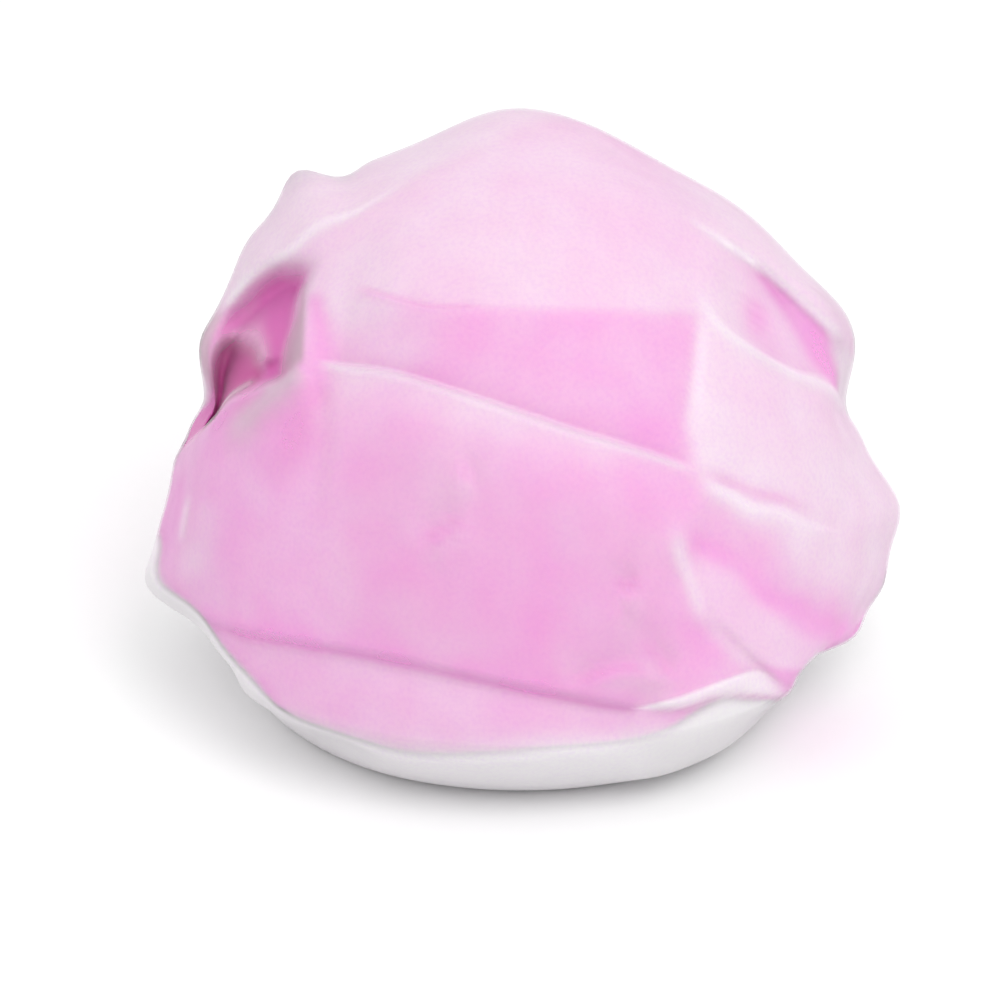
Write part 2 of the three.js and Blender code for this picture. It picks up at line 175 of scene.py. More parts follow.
ROLL_SIDE = [(-102, 95), (-98.8, 92), (-97, 88.5), (-95.4, 84), (-94, 80), (-93, 77)]
ROLL_MOUTH = [
    (-96, 70), (-96.5, 77), (-97.3, 82), (-99.5, 85.5), (-105, 88), (-109.5, 87), (-114, 80), (-119, 68),
]
POCKET_LINE = [(-124, 56), (-114, 64), (-107, 68.5), (-98, 73.5)]
PINCH = [(-76, 104), (-75.5, 80), (-75, 50)]
RIGHT_CREST = [(60, 133), (74, 124.5), (94, 111), (105, 98.5), (110.7, 91), (119, 83)]
RIGHT_RIM = [
    (65, 108), (67.5, 101), (72, 93.5), (80, 87), (92, 80),
    (105, 74), (114, 70.8), (121, 68.5), (130, 66),
]
RIGHT_TUCK = [(86.5, 113.6), (90, 107.5), (94.3, 101.5), (102.5, 87), (106.8, 79.4), (114.7, 71.5)]
LOBE_RIDGE = [(64.5, 38), (70, 34), (77, 31), (85, 26.5), (95, 25), (105, 20.5), (124, 15)]
VALLEY = [(57, 17.5), (67.5, 11.5), (80.5, 5.5), (89, -5.5), (98.5, -9), (110.5, -16), (126, -22)]
STREAK = [(56.5, 21.5), (58, 9), (62, -1.5), (65, -12), (65, -20)]
LOWER_EDGE = [(67.5, -12), (77, -21), (88, -31.5), (100, -43)]
CRESCENT = [(44, -46.6), (59, -42.8), (73.5, -37.5), (87, -34)]
CRESCENT_FOOT = [(44, -47.2), (56, -47.5), (66, -45.5), (75, -42.8), (88, -43), (97, -44.5)]
BOTTOM_CREASE = [
    (-137, -2), (-127, -11), (-115, -17), (-97.5, -21.5), (-71, -25.5),
    (-45, -30), (-7.5, -38), (30, -45.5), (45, -47),
]
BAND_END = [(66.5, 98), (65.5, 86), (64, 72), (62, 58), (61, 46)]
BAND_CREASE = [(-62, 107), (-47, 102), (-31, 98), (-12, 99)]
CROWN_CREASE = [(-13, 130), (2, 122), (18, 114)]
LIP = [(-79.5, 77), (-87, 71), (-95, 64), (-104, 55), (-112, 46)]
EDGE_CREST = [(-124.5, 32), (-126, 22), (-127, 11)]
LEFT_RIM = [(-113.5, 103), (-117.5, 95), (-120, 86), (-120, 79), (-118, 71)]
UNDER_LIP = [(-74, 74), (-76, 62), (-82, 52), (-89, 40), (-93, 28)]
LEFT_SIDE = [(-116, 34), (-119, 14), (-118, -6)]
LOBE_EDGE = [(-78, 77), (-72, 66), (-69, 55), (-70.5, 40), (-75, 21)]
FILM_ONLY = [
    (140, -70), (104, -52), (92, -46.5), (82, -45.5), (75, -44.5), (67.5, -48), (60, -52.5), (52, -57),
    (37.5, -60.5), (15, -63), (-34, -66), (-66, -60), (-82, -55.5), (-89, -52.5), (-94.5, -44.5),
    (-100.5, -37.5), (-109, -29), (-117.5, -18.5), (-125, -11), (-132, -4.5), (-135.5, 4), (-138, 14),
    (-150, 22),
]
DENTS = [
    [(-38, 12), (-29, 17), (-18, 23.5)],
    [(-24, 44), (-20, 38), (-16, 33)],
    [(31, 1.5), (39, -4), (47, -8)],
    [(36, -16), (39, -6), (44, 4.5)],
    [(17, -40), (30, -34), (41, -32), (56, -36.5)],
    [(41, -21), (49, -29), (56, -39)],
]
print("the nape has", len(DENTS), "small dents beside its main lines")

# %% [markdown]
# ## The lines of the brow side
# The brow side is out of sight from behind, so it needs no exact likeness. It gets folds of the same
# kinds and sizes, laid out differently, drawn on a plane that faces the brow.

# %% Lines of the brow
BROW_WAIST = [(-76, 63), (-40, 74), (0, 77), (40, 66), (73, 52)]
BROW_CROWN_EDGE = [(-60, 104), (-10, 112), (48, 100)]
BROW_LEFT_CREST = [(-114, 88), (-84, 116), (-46, 146)]
BROW_RIGHT_CREST = [(62, 118), (84, 104), (108, 80), (120, 66)]
BROW_LEFT_VALLEY = [(-64, 34), (-94, 10), (-126, -14)]
BROW_RIGHT_VALLEY = [(58, 22), (90, 4), (124, -18)]
BROW_STREAK = [(66, 8), (72, -14), (80, -30)]
BROW_LEFT_STREAK = [(-70, 26), (-66, 4), (-72, -22)]
BROW_BOTTOM = [(-104, -22), (-50, -36), (0, -44), (48, -42), (92, -30)]
BROW_DENTS = [[(-24, 26), (-8, 20), (10, 24)], [(20, -4), (34, -12), (40, -24)]]
BROW_POCKET = [
    [(136, 52), (108, 80), (84, 104), (60, 120)],
    [(60, 62), (78, 66), (100, 60), (124, 46)],
    [(88, 120), (78, 96), (76, 80), (84, 50)],
]
print("the brow has", len(BROW_DENTS), "small dents beside its main lines")

# %% [markdown]
# ## A grid that follows the folds
# The sheets are grids of columns from the crown down and rows round the axis. A crease that crosses a
# grid at a slant comes out as a row of little steps, like a rope. So the rows are bent: one follows the
# edge of the crown, one the waist and one the bottom crease, and the rows lie closer together there.
# The columns lie closer on the nape side, and closest at the pocket on its left.

# %% Columns
COLUMNS = 330
FINE_STEPS = 3601
BROW_DENSITY = 0.4
BROW_BEGINS, NAPE_BEGINS = -0.25, 0.15
POCKET_ANGLE, POCKET_SPREAD, POCKET_DENSITY = -1.1, 0.25, 0.5


def column_angles():
    """Angles round the axis from the nape, closer together where more folds are seen."""
    fine = np.linspace(-math.pi, math.pi, FINE_STEPS)
    density = BROW_DENSITY + (1.0 - BROW_DENSITY) * smoothstep(np.cos(fine), BROW_BEGINS, NAPE_BEGINS)
    density += POCKET_DENSITY * np.exp(-(((fine - POCKET_ANGLE) / POCKET_SPREAD) ** 2))
    run = np.concatenate([[0.0], np.cumsum((density[1:] + density[:-1]) / 2)])
    return np.interp(np.arange(COLUMNS) / COLUMNS * run[-1], run, fine)


def carried_round(section):
    """Points round the axis, from the radius and height that each column has on each row."""
    radius, height = section[..., 0], section[..., 1]
    return np.stack([radius * np.sin(ANGLES), -radius * np.cos(ANGLES) * DEPTH_RATIO, height], axis=-1)


def dome(girth, crown, share):
    """Radius and height on the dome, by the share of the way from the crown to the girth."""
    turn = (1.0 - share) * math.pi / 2
    return np.stack([girth * np.cos(turn), GIRTH_HEIGHT + (crown - GIRTH_HEIGHT) * np.sin(turn)], axis=-1)


ANGLES = column_angles()
print(COLUMNS, "columns, the closest", round(float(np.degrees(np.diff(ANGLES)).min()), 2), "degrees apart")

# %% Rows
ROW_COUNTS = (26, 30, 42, 12)
ROW_CROWDING = 0.5
ROW_CALM = 3
SEARCH_STEPS = 200
GUIDE_BLEND = 0.2
LEFT_OF_CROWN = [(-112, 101), (-100, 107), (-90, 110), (-80, 108)]
GUIDES = [
    # where a row runs on the nape side, and on the brow side
    ([*LEFT_OF_CROWN, *CROWN_EDGE[:-1], (62, 98), *RIGHT_RIM[2:6], (122, 72), (130, 80)],
     [(-126, 74), (-100, 88), *BROW_CROWN_EDGE, (84, 104), (108, 104)]),
    ([*POCKET_RIM[:-1], *WAIST, *LOBE_RIDGE[1:-1], (118, 20), (128, 28), (138, 45)],
     [(-137, 42), (-110, 50), *BROW_WAIST, (100, 53), (128, 54)]),
    ([(-141, 8), *BOTTOM_CREASE[:-1], *CRESCENT, (99, -36), (121, -21), (135, -6), (141, 8)],
     [(-141, 8), *BROW_BOTTOM, (141, 11)]),
]


def share_at(line, facing):
    """Where each column meets a line, as a share of the way from the crown to the girth."""
    share = np.linspace(0.0, 1.0, SEARCH_STEPS)
    points = carried_round(dome(HALF_WIDTH, CAP_HEIGHT, np.repeat(share[:, None], COLUMNS, axis=1)))
    across, up, _ = on_plane(points, facing)
    side = beside(smooth_line(line), across, up)[0]
    first_below = np.clip(np.cumprod(side > 0, axis=0).sum(axis=0), 1, len(share) - 1)
    before = np.take_along_axis(side, first_below[None] - 1, axis=0)[0]
    after = np.take_along_axis(side, first_below[None], axis=0)[0]
    part = np.clip(before / np.where(before == after, 1.0, before - after), 0.0, 1.0)
    return (first_below - 1 + part) / (len(share) - 1)


def calmed(values):
    """Values round the cap, each the mean of its neighbourhood."""
    return sum(np.roll(values, shift) for shift in range(-ROW_CALM, ROW_CALM + 1)) / (2 * ROW_CALM + 1)


def row_shares():
    """The share of the way down the dome, for each row and column."""
    nape = smoothstep(np.cos(ANGLES), -GUIDE_BLEND, GUIDE_BLEND)
    stops = [np.zeros(COLUMNS)]
    for nape_line, brow_line in GUIDES:
        stops.append(calmed(share_at(nape_line, 1) * nape + share_at(brow_line, -1) * (1.0 - nape)))
    stops.append(np.ones(COLUMNS))
    rows = []
    for count, start, end in zip(ROW_COUNTS, stops, stops[1:]):
        step = np.arange(1, count + 1)[:, None] / count
        step = step - ROW_CROWDING * np.sin(2 * math.pi * step) / (2 * math.pi)
        rows.append(start + (end - start) * step)
    return np.concatenate(rows)


ROW_SHARES = row_shares()
DOME_STEPS = len(ROW_SHARES)
row_steps = np.diff(ROW_SHARES, axis=0)
closest, widest = float(row_steps.min()), float(row_steps.max())
print(DOME_STEPS, "rows on the dome, steps from", round(closest, 4), "to", round(widest, 4))

# %% [markdown]
# ## The plain bag
# Below the dome the section is drawn once, as points of radius and height, and carried round the axis.
# A lathe or a Screw modifier would do the same, but the folds need to know where on the bag each point
# lies, so the rings are kept as arrays.

# %% Curves of the section
CURVE_STEPS = 600


def half_turn(middle_r, middle_z, radius):
    """A half circle over the top, from the inside outwards, as a curve from share 0 to 1."""
    def at(share):
        turn = math.pi * (1.0 - share)
        return np.stack([middle_r + radius * np.cos(turn), middle_z + radius * np.sin(turn)], -1)
    return at


def bezier(*controls):
    """A Bezier curve through its first and last control points, from share 0 to 1."""
    def at(share):
        points = [np.outer(np.ones_like(share), c) for c in controls]
        while len(points) > 1:
            points = [a + (b - a) * share[:, None] for a, b in zip(points, points[1:])]
        return points[0]
    return at


def evenly(curve, steps):
    """Evenly spaced points along a curve, without its first one."""
    fine = np.linspace(0.0, 1.0, CURVE_STEPS)
    run = np.cumsum(np.linalg.norm(np.diff(curve(fine), axis=0), axis=1))
    wanted = run[-1] * np.linspace(0.0, 1.0, steps + 1)[1:]
    return curve(np.interp(wanted, np.concatenate([[0.0], run]), fine))


print("curves are measured in", CURVE_STEPS, "steps")

# %% Section of the bag
SLACK_TURN = ((0.15, 0.35), (0.7, 0.7))
FULL_TURN = ((0.1, 0.4), (0.6, 0.8))
BELLY_BEGINS, BELLY_FULL = 0.35, 0.85
FOLD_STEPS, FOOT_STEPS, RISE_STEPS = 20, 2, 8
WALL_STEPS, TURN_STEPS, EDGE_STEPS = 2, 4, 2


def under_dome(girth, bottom, hem_point, turn_under):
    """Bottom fold, foot and the rise to the hem; the fold's two inner controls say how full it is."""
    def toward_foot(inward, down):
        return (girth + (FOOT_RADIUS - girth) * inward, GIRTH_HEIGHT + (bottom - GIRTH_HEIGHT) * down)
    fold = bezier(toward_foot(0, 0), *(toward_foot(*control) for control in turn_under), toward_foot(1, 1))
    foot = bezier((FOOT_RADIUS, bottom), (FOOT_INNER, bottom))
    rise = bezier((FOOT_INNER, bottom), (hem_point[0], bottom), hem_point)
    return [evenly(fold, FOLD_STEPS), evenly(foot, FOOT_STEPS), evenly(rise, RISE_STEPS)]


def with_dome(girth, crown, below):
    """The whole section in every column: the bent rows of the dome, and the same rows below it."""
    low = np.concatenate(below)[:, None]
    return np.concatenate([dome(girth, crown, ROW_SHARES), np.repeat(low, COLUMNS, axis=1)])


def film_section(turn_under):
    """The film goes on up the hem, turns over the elastic and comes down again outside it."""
    below = under_dome(HALF_WIDTH, FILM_THICKNESS / 2, (HEM_WALL, HEM_BOTTOM), turn_under)
    below.append(evenly(bezier((HEM_WALL, HEM_BOTTOM), (HEM_WALL, ELASTIC_TOP)), WALL_STEPS))
    below.append(evenly(half_turn(HEM_WALL + HEM_TURN, ELASTIC_TOP, HEM_TURN), TURN_STEPS))
    below.append(evenly(bezier((TURNED_EDGE, ELASTIC_TOP), (TURNED_EDGE, HEM_BOTTOM)), EDGE_STEPS))
    return with_dome(HALF_WIDTH, CAP_HEIGHT, below)


def lining_section(turn_under):
    """The lining hangs higher, passes under the turned edge and ends inside the hem, under the elastic."""
    in_hem = HEM_WALL + HEM_TURN
    entry = (in_hem, HEM_BOTTOM - CLEARANCE - LINING_THICKNESS)
    below = under_dome(HALF_WIDTH - LINING_GAP, LINING_LIFT, entry, turn_under)
    below.append(evenly(bezier(entry, (in_hem, ELASTIC_BOTTOM - CLEARANCE)), WALL_STEPS))
    return with_dome(HALF_WIDTH - LINING_GAP, CAP_HEIGHT - LINING_GAP, below)


def whole_bag(section_of):
    """The bag bellies out at the nape and the brow, and hangs slack over the ears."""
    slack, full = carried_round(section_of(SLACK_TURN)), carried_round(section_of(FULL_TURN))
    belly = smoothstep(np.abs(np.cos(ANGLES)), BELLY_BEGINS, BELLY_FULL)
    return slack + (full - slack) * belly[None, :, None]


FILM_SECTION = film_section(SLACK_TURN)
LINING_SECTION = lining_section(SLACK_TURN)
PLAIN_FILM = whole_bag(film_section)
PLAIN_LINING = whole_bag(lining_section)
print("film", PLAIN_FILM.shape, "lining", PLAIN_LINING.shape)

# %% [markdown]
# ## Folds
# A fold is a line with a height on each of its sides, and the distance over which that height fades. A
# crest has the same height on both sides, a tuck is high on one side and low on the other, and a hollow
# is bounded by lines that keep it on their left. Points move towards the viewer or away, so a fold
# changes the light and not the outline.

# %% Fold helpers
Fold = namedtuple("Fold", "line above below soft fade")
Hollow = namedtuple("Hollow", "depth edges")
FOLD_REACH = 4.0


def fold_rise(fold, across, up):
    """How far one fold lifts each point."""
    line = smooth_line(fold.line)
    margin = FOLD_REACH * max(fold.above[1], fold.below[1])
    low, high = line.min(axis=0) - margin, line.max(axis=0) + margin
    near = (across > low[0]) & (across < high[0]) & (up > low[1]) & (up < high[1])
    rise = np.zeros_like(across)
    side, along, length = beside(line, across[near], up[near])
    rounded = np.sqrt(side**2 + fold.soft**2) - fold.soft
    above = fold.above[0] * np.exp(-rounded / fold.above[1])
    below = fold.below[0] * np.exp(-rounded / fold.below[1])
    share = smoothstep(side, -fold.soft, fold.soft)
    ends = smoothstep(along, 0.0, fold.fade[0]) * smoothstep(length - along, 0.0, fold.fade[1])
    rise[near] = ends * (share * above + (1.0 - share) * below)
    return rise


def hollow_share(hollow, across, up):
    """How far inside a hollow each point is, from 0 to 1: to the left of all its edges."""
    share = np.ones_like(across)
    for line, soft in hollow.edges:
        share *= smoothstep(beside(smooth_line(line), across, up)[0], -soft, soft)
    return share


def folds_rise(folds, hollows, across, up):
    """How far all the folds and hollows of one side lift each point."""
    rise = sum(fold_rise(fold, across, up) for fold in folds)
    return rise - sum(hollow.depth * hollow_share(hollow, across, up) for hollow in hollows)


print("a fold has", ", ".join(Fold._fields))

# %% [markdown]
# ## The folds of the nape side
# Above and below are a height and how far from the line it fades. The deep hollow at the left end of
# the waist is where the film has been sucked in, and a roll of film sticks out of it.

# %% Folds of the nape
ABOVE_RIGHT_CREST = [(140, 76), *RIGHT_CREST[::-1], (50, 140)]
BELOW_RIGHT_RIM = [(58, 130), *RIGHT_RIM, (145, 62)]
NAPE_FOLDS = [
    Fold(WAIST, (-6, 18), (0.5, 14), 1.4, (12, 14)),
    Fold(BAND_END, (1, 8), (-1.5, 10), 3.5, (16, 16)),
    Fold(BAND_CREASE, (-1.2, 4), (1.0, 6), 1.2, (8, 10)),
    Fold(CROWN_CREASE, (0.7, 8), (-0.7, 6), 2.0, (12, 14)),
    Fold(CROWN_EDGE, (6, 30), (6, 13), 7.0, (24, 24)),
    Fold(ROLL_TOP, (6, 4), (3.5, 4), 1.8, (5, 5)),
    Fold(ROLL_SIDE, (3, 5), (3, 4), 2.4, (5, 4)),
    Fold(LEFT_CREST, (2.5, 20), (2.5, 6), 1.1, (8, 26)),
    Fold(POCKET_LINE, (2, 4), (2, 8), 1.3, (22, 5)),
    Fold(PINCH, (-2, 10), (3, 14), 6.0, (14, 20)),
    Fold(LOBE_EDGE, (0.6, 12), (-1.2, 10), 4.0, (8, 16)),
    Fold(LIP, (5, 8), (2, 12), 2.5, (6, 16)),
    Fold(EDGE_CREST, (1.5, 3), (1.5, 3), 1.2, (6, 6)),
    Fold(RIGHT_CREST, (2.5, 16), (2.5, 6), 1.1, (18, 6)),
    Fold(RIGHT_RIM, (2, 5), (3.5, 20), 1.6, (20, 8)),
    Fold(LOBE_RIDGE, (-1.5, 7), (2, 14), 1.6, (12, 20)),
    Fold(VALLEY, (-6, 13), (-6, 12), 5.0, (12, 8)),
    Fold(STREAK, (1.8, 7), (1.4, 5), 1.8, (8, 10)),
    Fold(LOWER_EDGE, (2, 10), (-2, 8), 2.0, (10, 8)),
    Fold(CRESCENT, (1, 5), (3, 5), 1.8, (12, 8)),
    Fold(CRESCENT_FOOT, (1, 4), (-3, 7), 1.5, (10, 8)),
    Fold(BOTTOM_CREASE, (2, 26), (-5, 13), 2.0, (20, 10)),
    *(Fold(dent, (-2.8, 6), (2.2, 8), 2.5, (8, 8)) for dent in DENTS),
]
POCKET = Hollow(28, [(POCKET_WALL, 4.0), (POCKET_SLOPE, 6.0), (POCKET_RIM, 3.0)])
ROLL_INSIDE = Hollow(9, [(ROLL_MOUTH, 2.4), ([(-130, 52), *POCKET_LINE, (-90, 77)], 2.0)])
RIGHT_HOLLOW = Hollow(13, [
    (ABOVE_RIGHT_CREST, 5.0), (BELOW_RIGHT_RIM, 9.0),
    ([(90, 130), (82, 112), (79, 98), (84, 82), (90, 70)], 9.0),
])
TUCKED = Hollow(5, [([(140, 76), *RIGHT_CREST[::-1]], 4.0), (RIGHT_TUCK, 3.0), (BELOW_RIGHT_RIM, 4.0)])
NAPE_HOLLOWS = [POCKET, ROLL_INSIDE, RIGHT_HOLLOW, TUCKED]
print(len(NAPE_FOLDS) + len(NAPE_HOLLOWS), "folds on the nape side")

# %% [markdown]
# ## The folds of the brow side
# The brow has the same kinds of fold: a waist, the edge of the crown, crests up the shoulders, valleys
# low on both sides, and a hollow at the right end of the waist.

# %% Folds of the brow
BROW_FOLDS = [
    Fold(BROW_WAIST, (-8, 18), (2, 16), 1.6, (12, 14)),
    Fold(BROW_CROWN_EDGE, (6, 24), (6, 10), 6.0, (20, 20)),
    Fold(BROW_RIGHT_CREST, (4, 10), (4, 4), 1.5, (14, 10)),
    Fold(BROW_LEFT_CREST, (4, 12), (4, 5), 1.5, (14, 20)),
    Fold(BROW_LEFT_VALLEY, (-9, 10), (-9, 10), 4.0, (10, 10)),
    Fold(BROW_RIGHT_VALLEY, (-9, 10), (-9, 10), 4.0, (10, 10)),
    Fold(BROW_STREAK, (4, 5), (4, 5), 1.5, (8, 8)),
    Fold(BROW_LEFT_STREAK, (4, 5), (3, 5), 1.5, (8, 8)),
    Fold(BROW_BOTTOM, (3, 26), (-6, 12), 2.5, (14, 14)),
    *(Fold(dent, (-2, 6), (2, 8), 2.0, (8, 8)) for dent in BROW_DENTS),
]
BROW_HOLLOWS = [Hollow(15, list(zip(BROW_POCKET, (3.0, 7.0, 9.0))))]
print(len(BROW_FOLDS) + len(BROW_HOLLOWS), "folds on the brow side")

# %% [markdown]
# ## Corners and notches of the outline
# Where a fold runs over the edge of the cap, the outline gets a corner or a notch. These push the film
# outwards or inwards on the same plane, each at its own angle round from the right, and only near the
# edge.

# %% Outline
OUTLINE = [
    # degrees, spread in degrees, millimetres
    (10, 5, 6),
    (20.5, 4, -2.5),
    (27.3, 4.5, -7),
    (38, 8, 7),
    (71, 11, -5.5),
    (92, 7, 2),
    (104, 10, -5),
    (114.5, 2.5, -4),
    (119, 4, 10),
    (128, 6, 5),
    (143.5, 3, 1),
    (150.5, 4.2, -8.6),
    (157, 4, -3),
    (165, 8, -4),
    (181, 4, 4),
    (190, 6, -12),
    (197.5, 4.5, -8),
    (206, 7, -5),
    (221, 10, -8),
    (305, 9, 3),
    (332, 9, -8),
    (343.5, 5, -14),
    (354, 4, -5),
]
EDGE_START = 0.84
REACH_UP = math.hypot((CAP_HEIGHT - GIRTH_HEIGHT) * TILT_COS, CAP_DEPTH / 2 * TILT_SIN)
REACH_DOWN = GIRTH_HEIGHT * TILT_COS + FOOT_RADIUS * DEPTH_RATIO * TILT_SIN


def outline_shift(across, up):
    """How far each point near the edge moves away from the middle of the plane."""
    angle = np.degrees(np.arctan2(up, across)) % 360
    reach = np.hypot(across / HALF_WIDTH, up / np.where(up > 0, REACH_UP, REACH_DOWN))
    shift = np.zeros_like(across)
    for at, spread, out in OUTLINE:
        turn = (angle - at + 180) % 360 - 180
        shift += out * np.exp(-((turn / spread) ** 2))
    return shift * smoothstep(reach, EDGE_START, 1.0)


print("plain outline reaches", round(REACH_UP), "mm up and", round(REACH_DOWN), "mm down")

# %% [markdown]
# ## Draping the film
# Each point of the plain bag moves by the folds of its side, and the two sides blend over the ears. The
# hem and the foot hold still. Under the bag, the film is gathered: the same length of film has to fit
# on a hem that is little more than half as long, so it stands in pleats that run from the foot to the
# hem.

# %% Drape
SIDE_BLEND = 30.0


def freedom(points, radius):
    """The cloth is free over the dome, and held at the hem and by the floor."""
    height = points[..., 2]
    outside = smoothstep(radius, TURNED_EDGE, FOOT_RADIUS)
    over_hem = smoothstep(height, HEM_TOP + ELASTIC_WIDTH, HEM_TOP + CAP_HEIGHT / 4)
    return np.maximum(outside, over_hem) * smoothstep(height, 0.0, GIRTH_HEIGHT / 2)


def crinkle(points, size, height):
    """Small random unevenness of the film."""
    flat = points.reshape(-1, 3)
    lift = np.array([noise.noise(Vector(p / size)) for p in flat]) * height
    return lift.reshape(points.shape[:-1])


def drape(points, radius):
    """How far the folds and the corners of the outline move each point of a plain bag."""
    across, up, toward = on_plane(points, 1)
    back_across, back_up, _ = on_plane(points, -1)
    nape_share = smoothstep(toward, -SIDE_BLEND, SIDE_BLEND)
    nape = folds_rise(NAPE_FOLDS, NAPE_HOLLOWS, across, up) * nape_share
    brow = folds_rise(BROW_FOLDS, BROW_HOLLOWS, back_across, back_up) * (1.0 - nape_share)
    out = outline_shift(across, up) / np.maximum(np.hypot(across, up), 1.0)
    moved = np.stack([
        out * across,
        out * up * TILT_SIN + (brow - nape) * TILT_COS,
        out * up * TILT_COS + (brow + nape) * TILT_SIN,
    ], axis=-1)
    return moved * freedom(points, radius)[..., None]


FILM_MOVE = drape(PLAIN_FILM, FILM_SECTION[..., 0])
film_way = np.linalg.norm(FILM_MOVE, axis=-1)
print("the folds move the film by up to", round(float(film_way.max()), 1), "mm")

# %% Gathers
PLEATS = 36
PLEAT_DEPTH = 4.5
RUFFLE_DEPTH = 1.1
WAVE_ROUND, WAVE_LEVEL = 6.0, 3.0
WAVE_TURN, WAVE_PLAIN, WAVE_UNEVEN = 5.0, 0.75, 0.5


def gather_wave(angles):
    """The uneven wave of the gathers round the hem, from -1 to 1 or so."""
    rounds = [Vector((WAVE_ROUND * math.cos(a), WAVE_ROUND * math.sin(a), WAVE_LEVEL)) for a in angles]
    uneven = np.array([noise.noise(place) for place in rounds])
    return np.cos(PLEATS * angles + WAVE_TURN * uneven) * (WAVE_PLAIN + WAVE_UNEVEN * uneven)


def gathers(section):
    """Height of the pleats under the bag, on the rings of a section."""
    radius, height = section[..., 0], section[..., 1]
    inside = np.clip((radius - HEM_WALL) / (FOOT_RADIUS - HEM_WALL), 0.0, 1.0)
    below_hem = np.maximum(1.0 - height / HEM_BOTTOM, 0.0)
    under = np.sin(math.pi * inside) * below_hem * (radius <= FOOT_RADIUS)
    return PLEAT_DEPTH * under * gather_wave(ANGLES)


def ruffled(rings, section):
    """The elastic draws the hem in, so its rings wave in and out, less and less towards the foot."""
    share = smoothstep((FOOT_INNER - section[..., 0]) / (FOOT_INNER - TURNED_EDGE), 0.0, 1.0)
    out = RUFFLE_DEPTH * share * gather_wave(ANGLES)
    toward_hem = np.stack([np.sin(ANGLES), -np.cos(ANGLES) * DEPTH_RATIO, np.zeros(COLUMNS)], axis=-1)
    under_bag = (np.arange(len(section)) > DOME_STEPS)[:, None, None]
    return rings + under_bag * out[..., None] * toward_hem


print(PLEATS, "pleats under the bag, up to", PLEAT_DEPTH, "mm high")

# %% Smoothing
RELAX_WEIGHTS, RELAX_ROUNDS = [0.6, -0.63], 4
RELAX_FROM, RELAX_SHORT = 2, 8


def neighbours_middle(rings):
    """The middle of each point's four neighbours on a grid of rings."""
    above = np.concatenate([rings[:1], rings[:-1]])
    below = np.concatenate([rings[1:], rings[-1:]])
    return (np.roll(rings, 1, axis=1) + np.roll(rings, -1, axis=1) + above + below) / 4


def relaxed(rings):
    """Steps left by the grid along slanting folds are smoothed, without shrinking the folds."""
    free = np.zeros((len(rings), 1, 1))
    free[RELAX_FROM:DOME_STEPS + FOLD_STEPS - RELAX_SHORT] = 1.0
    for weight in RELAX_WEIGHTS * RELAX_ROUNDS:
        rings = rings + weight * free * (neighbours_middle(rings) - rings)
    return rings


film_rings = relaxed(PLAIN_FILM + FILM_MOVE)
film_rings[..., 2] += np.maximum(gathers(FILM_SECTION), 0.0)
film_rings = ruffled(film_rings, FILM_SECTION)
print("the film is", len(film_rings), "rings of", COLUMNS, "points")

# %% [markdown]
# ## Milkiness
# Frosted film over cloth is clear where it touches and white where it stands off, because it scatters
# what lies further behind it. So the first thing to settle is where the film stands off: over the crown
# and the right lobe, along every crest, and fully at the bottom, where the film hangs lower than the
# lining. In the folds it is pressed on the cloth. Along the crests and creases the same values also
# carry a painted highlight and painted shade. Each place is a drawn line with a width, on the same
# planes as the folds.

# %% Where the film stands off
Patch = namedtuple("Patch", "value edges")
Streak = namedtuple("Streak", "value line above below ends")
MILK_BASE, LEAST_MILK, ALONE_MILK = 0.21, 0.125, 0.95
CROWN_MILK, LOBE_MILK, SHOULDER_MILK = 0.38, 0.42, 0.46
LONG_CREST = [(-128, 60), *LEFT_CREST, (0, 166), (40, 182)]
LONG_CROWN_EDGE = [(-90, 96), (-66, 89), (-50, 92), (-36, 98), (0, 99), (40, 98), (66, 97), (120, 92)]
POCKET_FACET = [(-80, 108), (-81, 104), (-83, 95), (-86, 88), (-88, 78), (-89, 66)]
FACET_EDGES = [
    (POCKET_FACET, 1.6), ([(-79, 60), (-79.5, 108)], 1.2), ([(-96, 70), (-84, 77), (-74, 83)], 2.0),
]
FRONT_EDGES = [
    ([(150, -10), (65, 18), (15, 34), (-45, 54), (-76, 60), (-150, 80)], 14.0), (BOTTOM_CREASE, 6.0),
    ([(-66, 130), (-66, -90)], 22.0), ([(56, -90), (56, 130)], 16.0),
]
SOFT_EDGE = [(64, -54), (37, -56), (15, -58), (-34, -61), (-66, -55.5), (-84, -51)]
SLIVER = [(110, 96), (111.4, 89), (114.2, 80.3), (118.2, 73.7), (120.5, 64)]
print("milk runs from", LEAST_MILK, "to", ALONE_MILK, "and starts at", MILK_BASE)

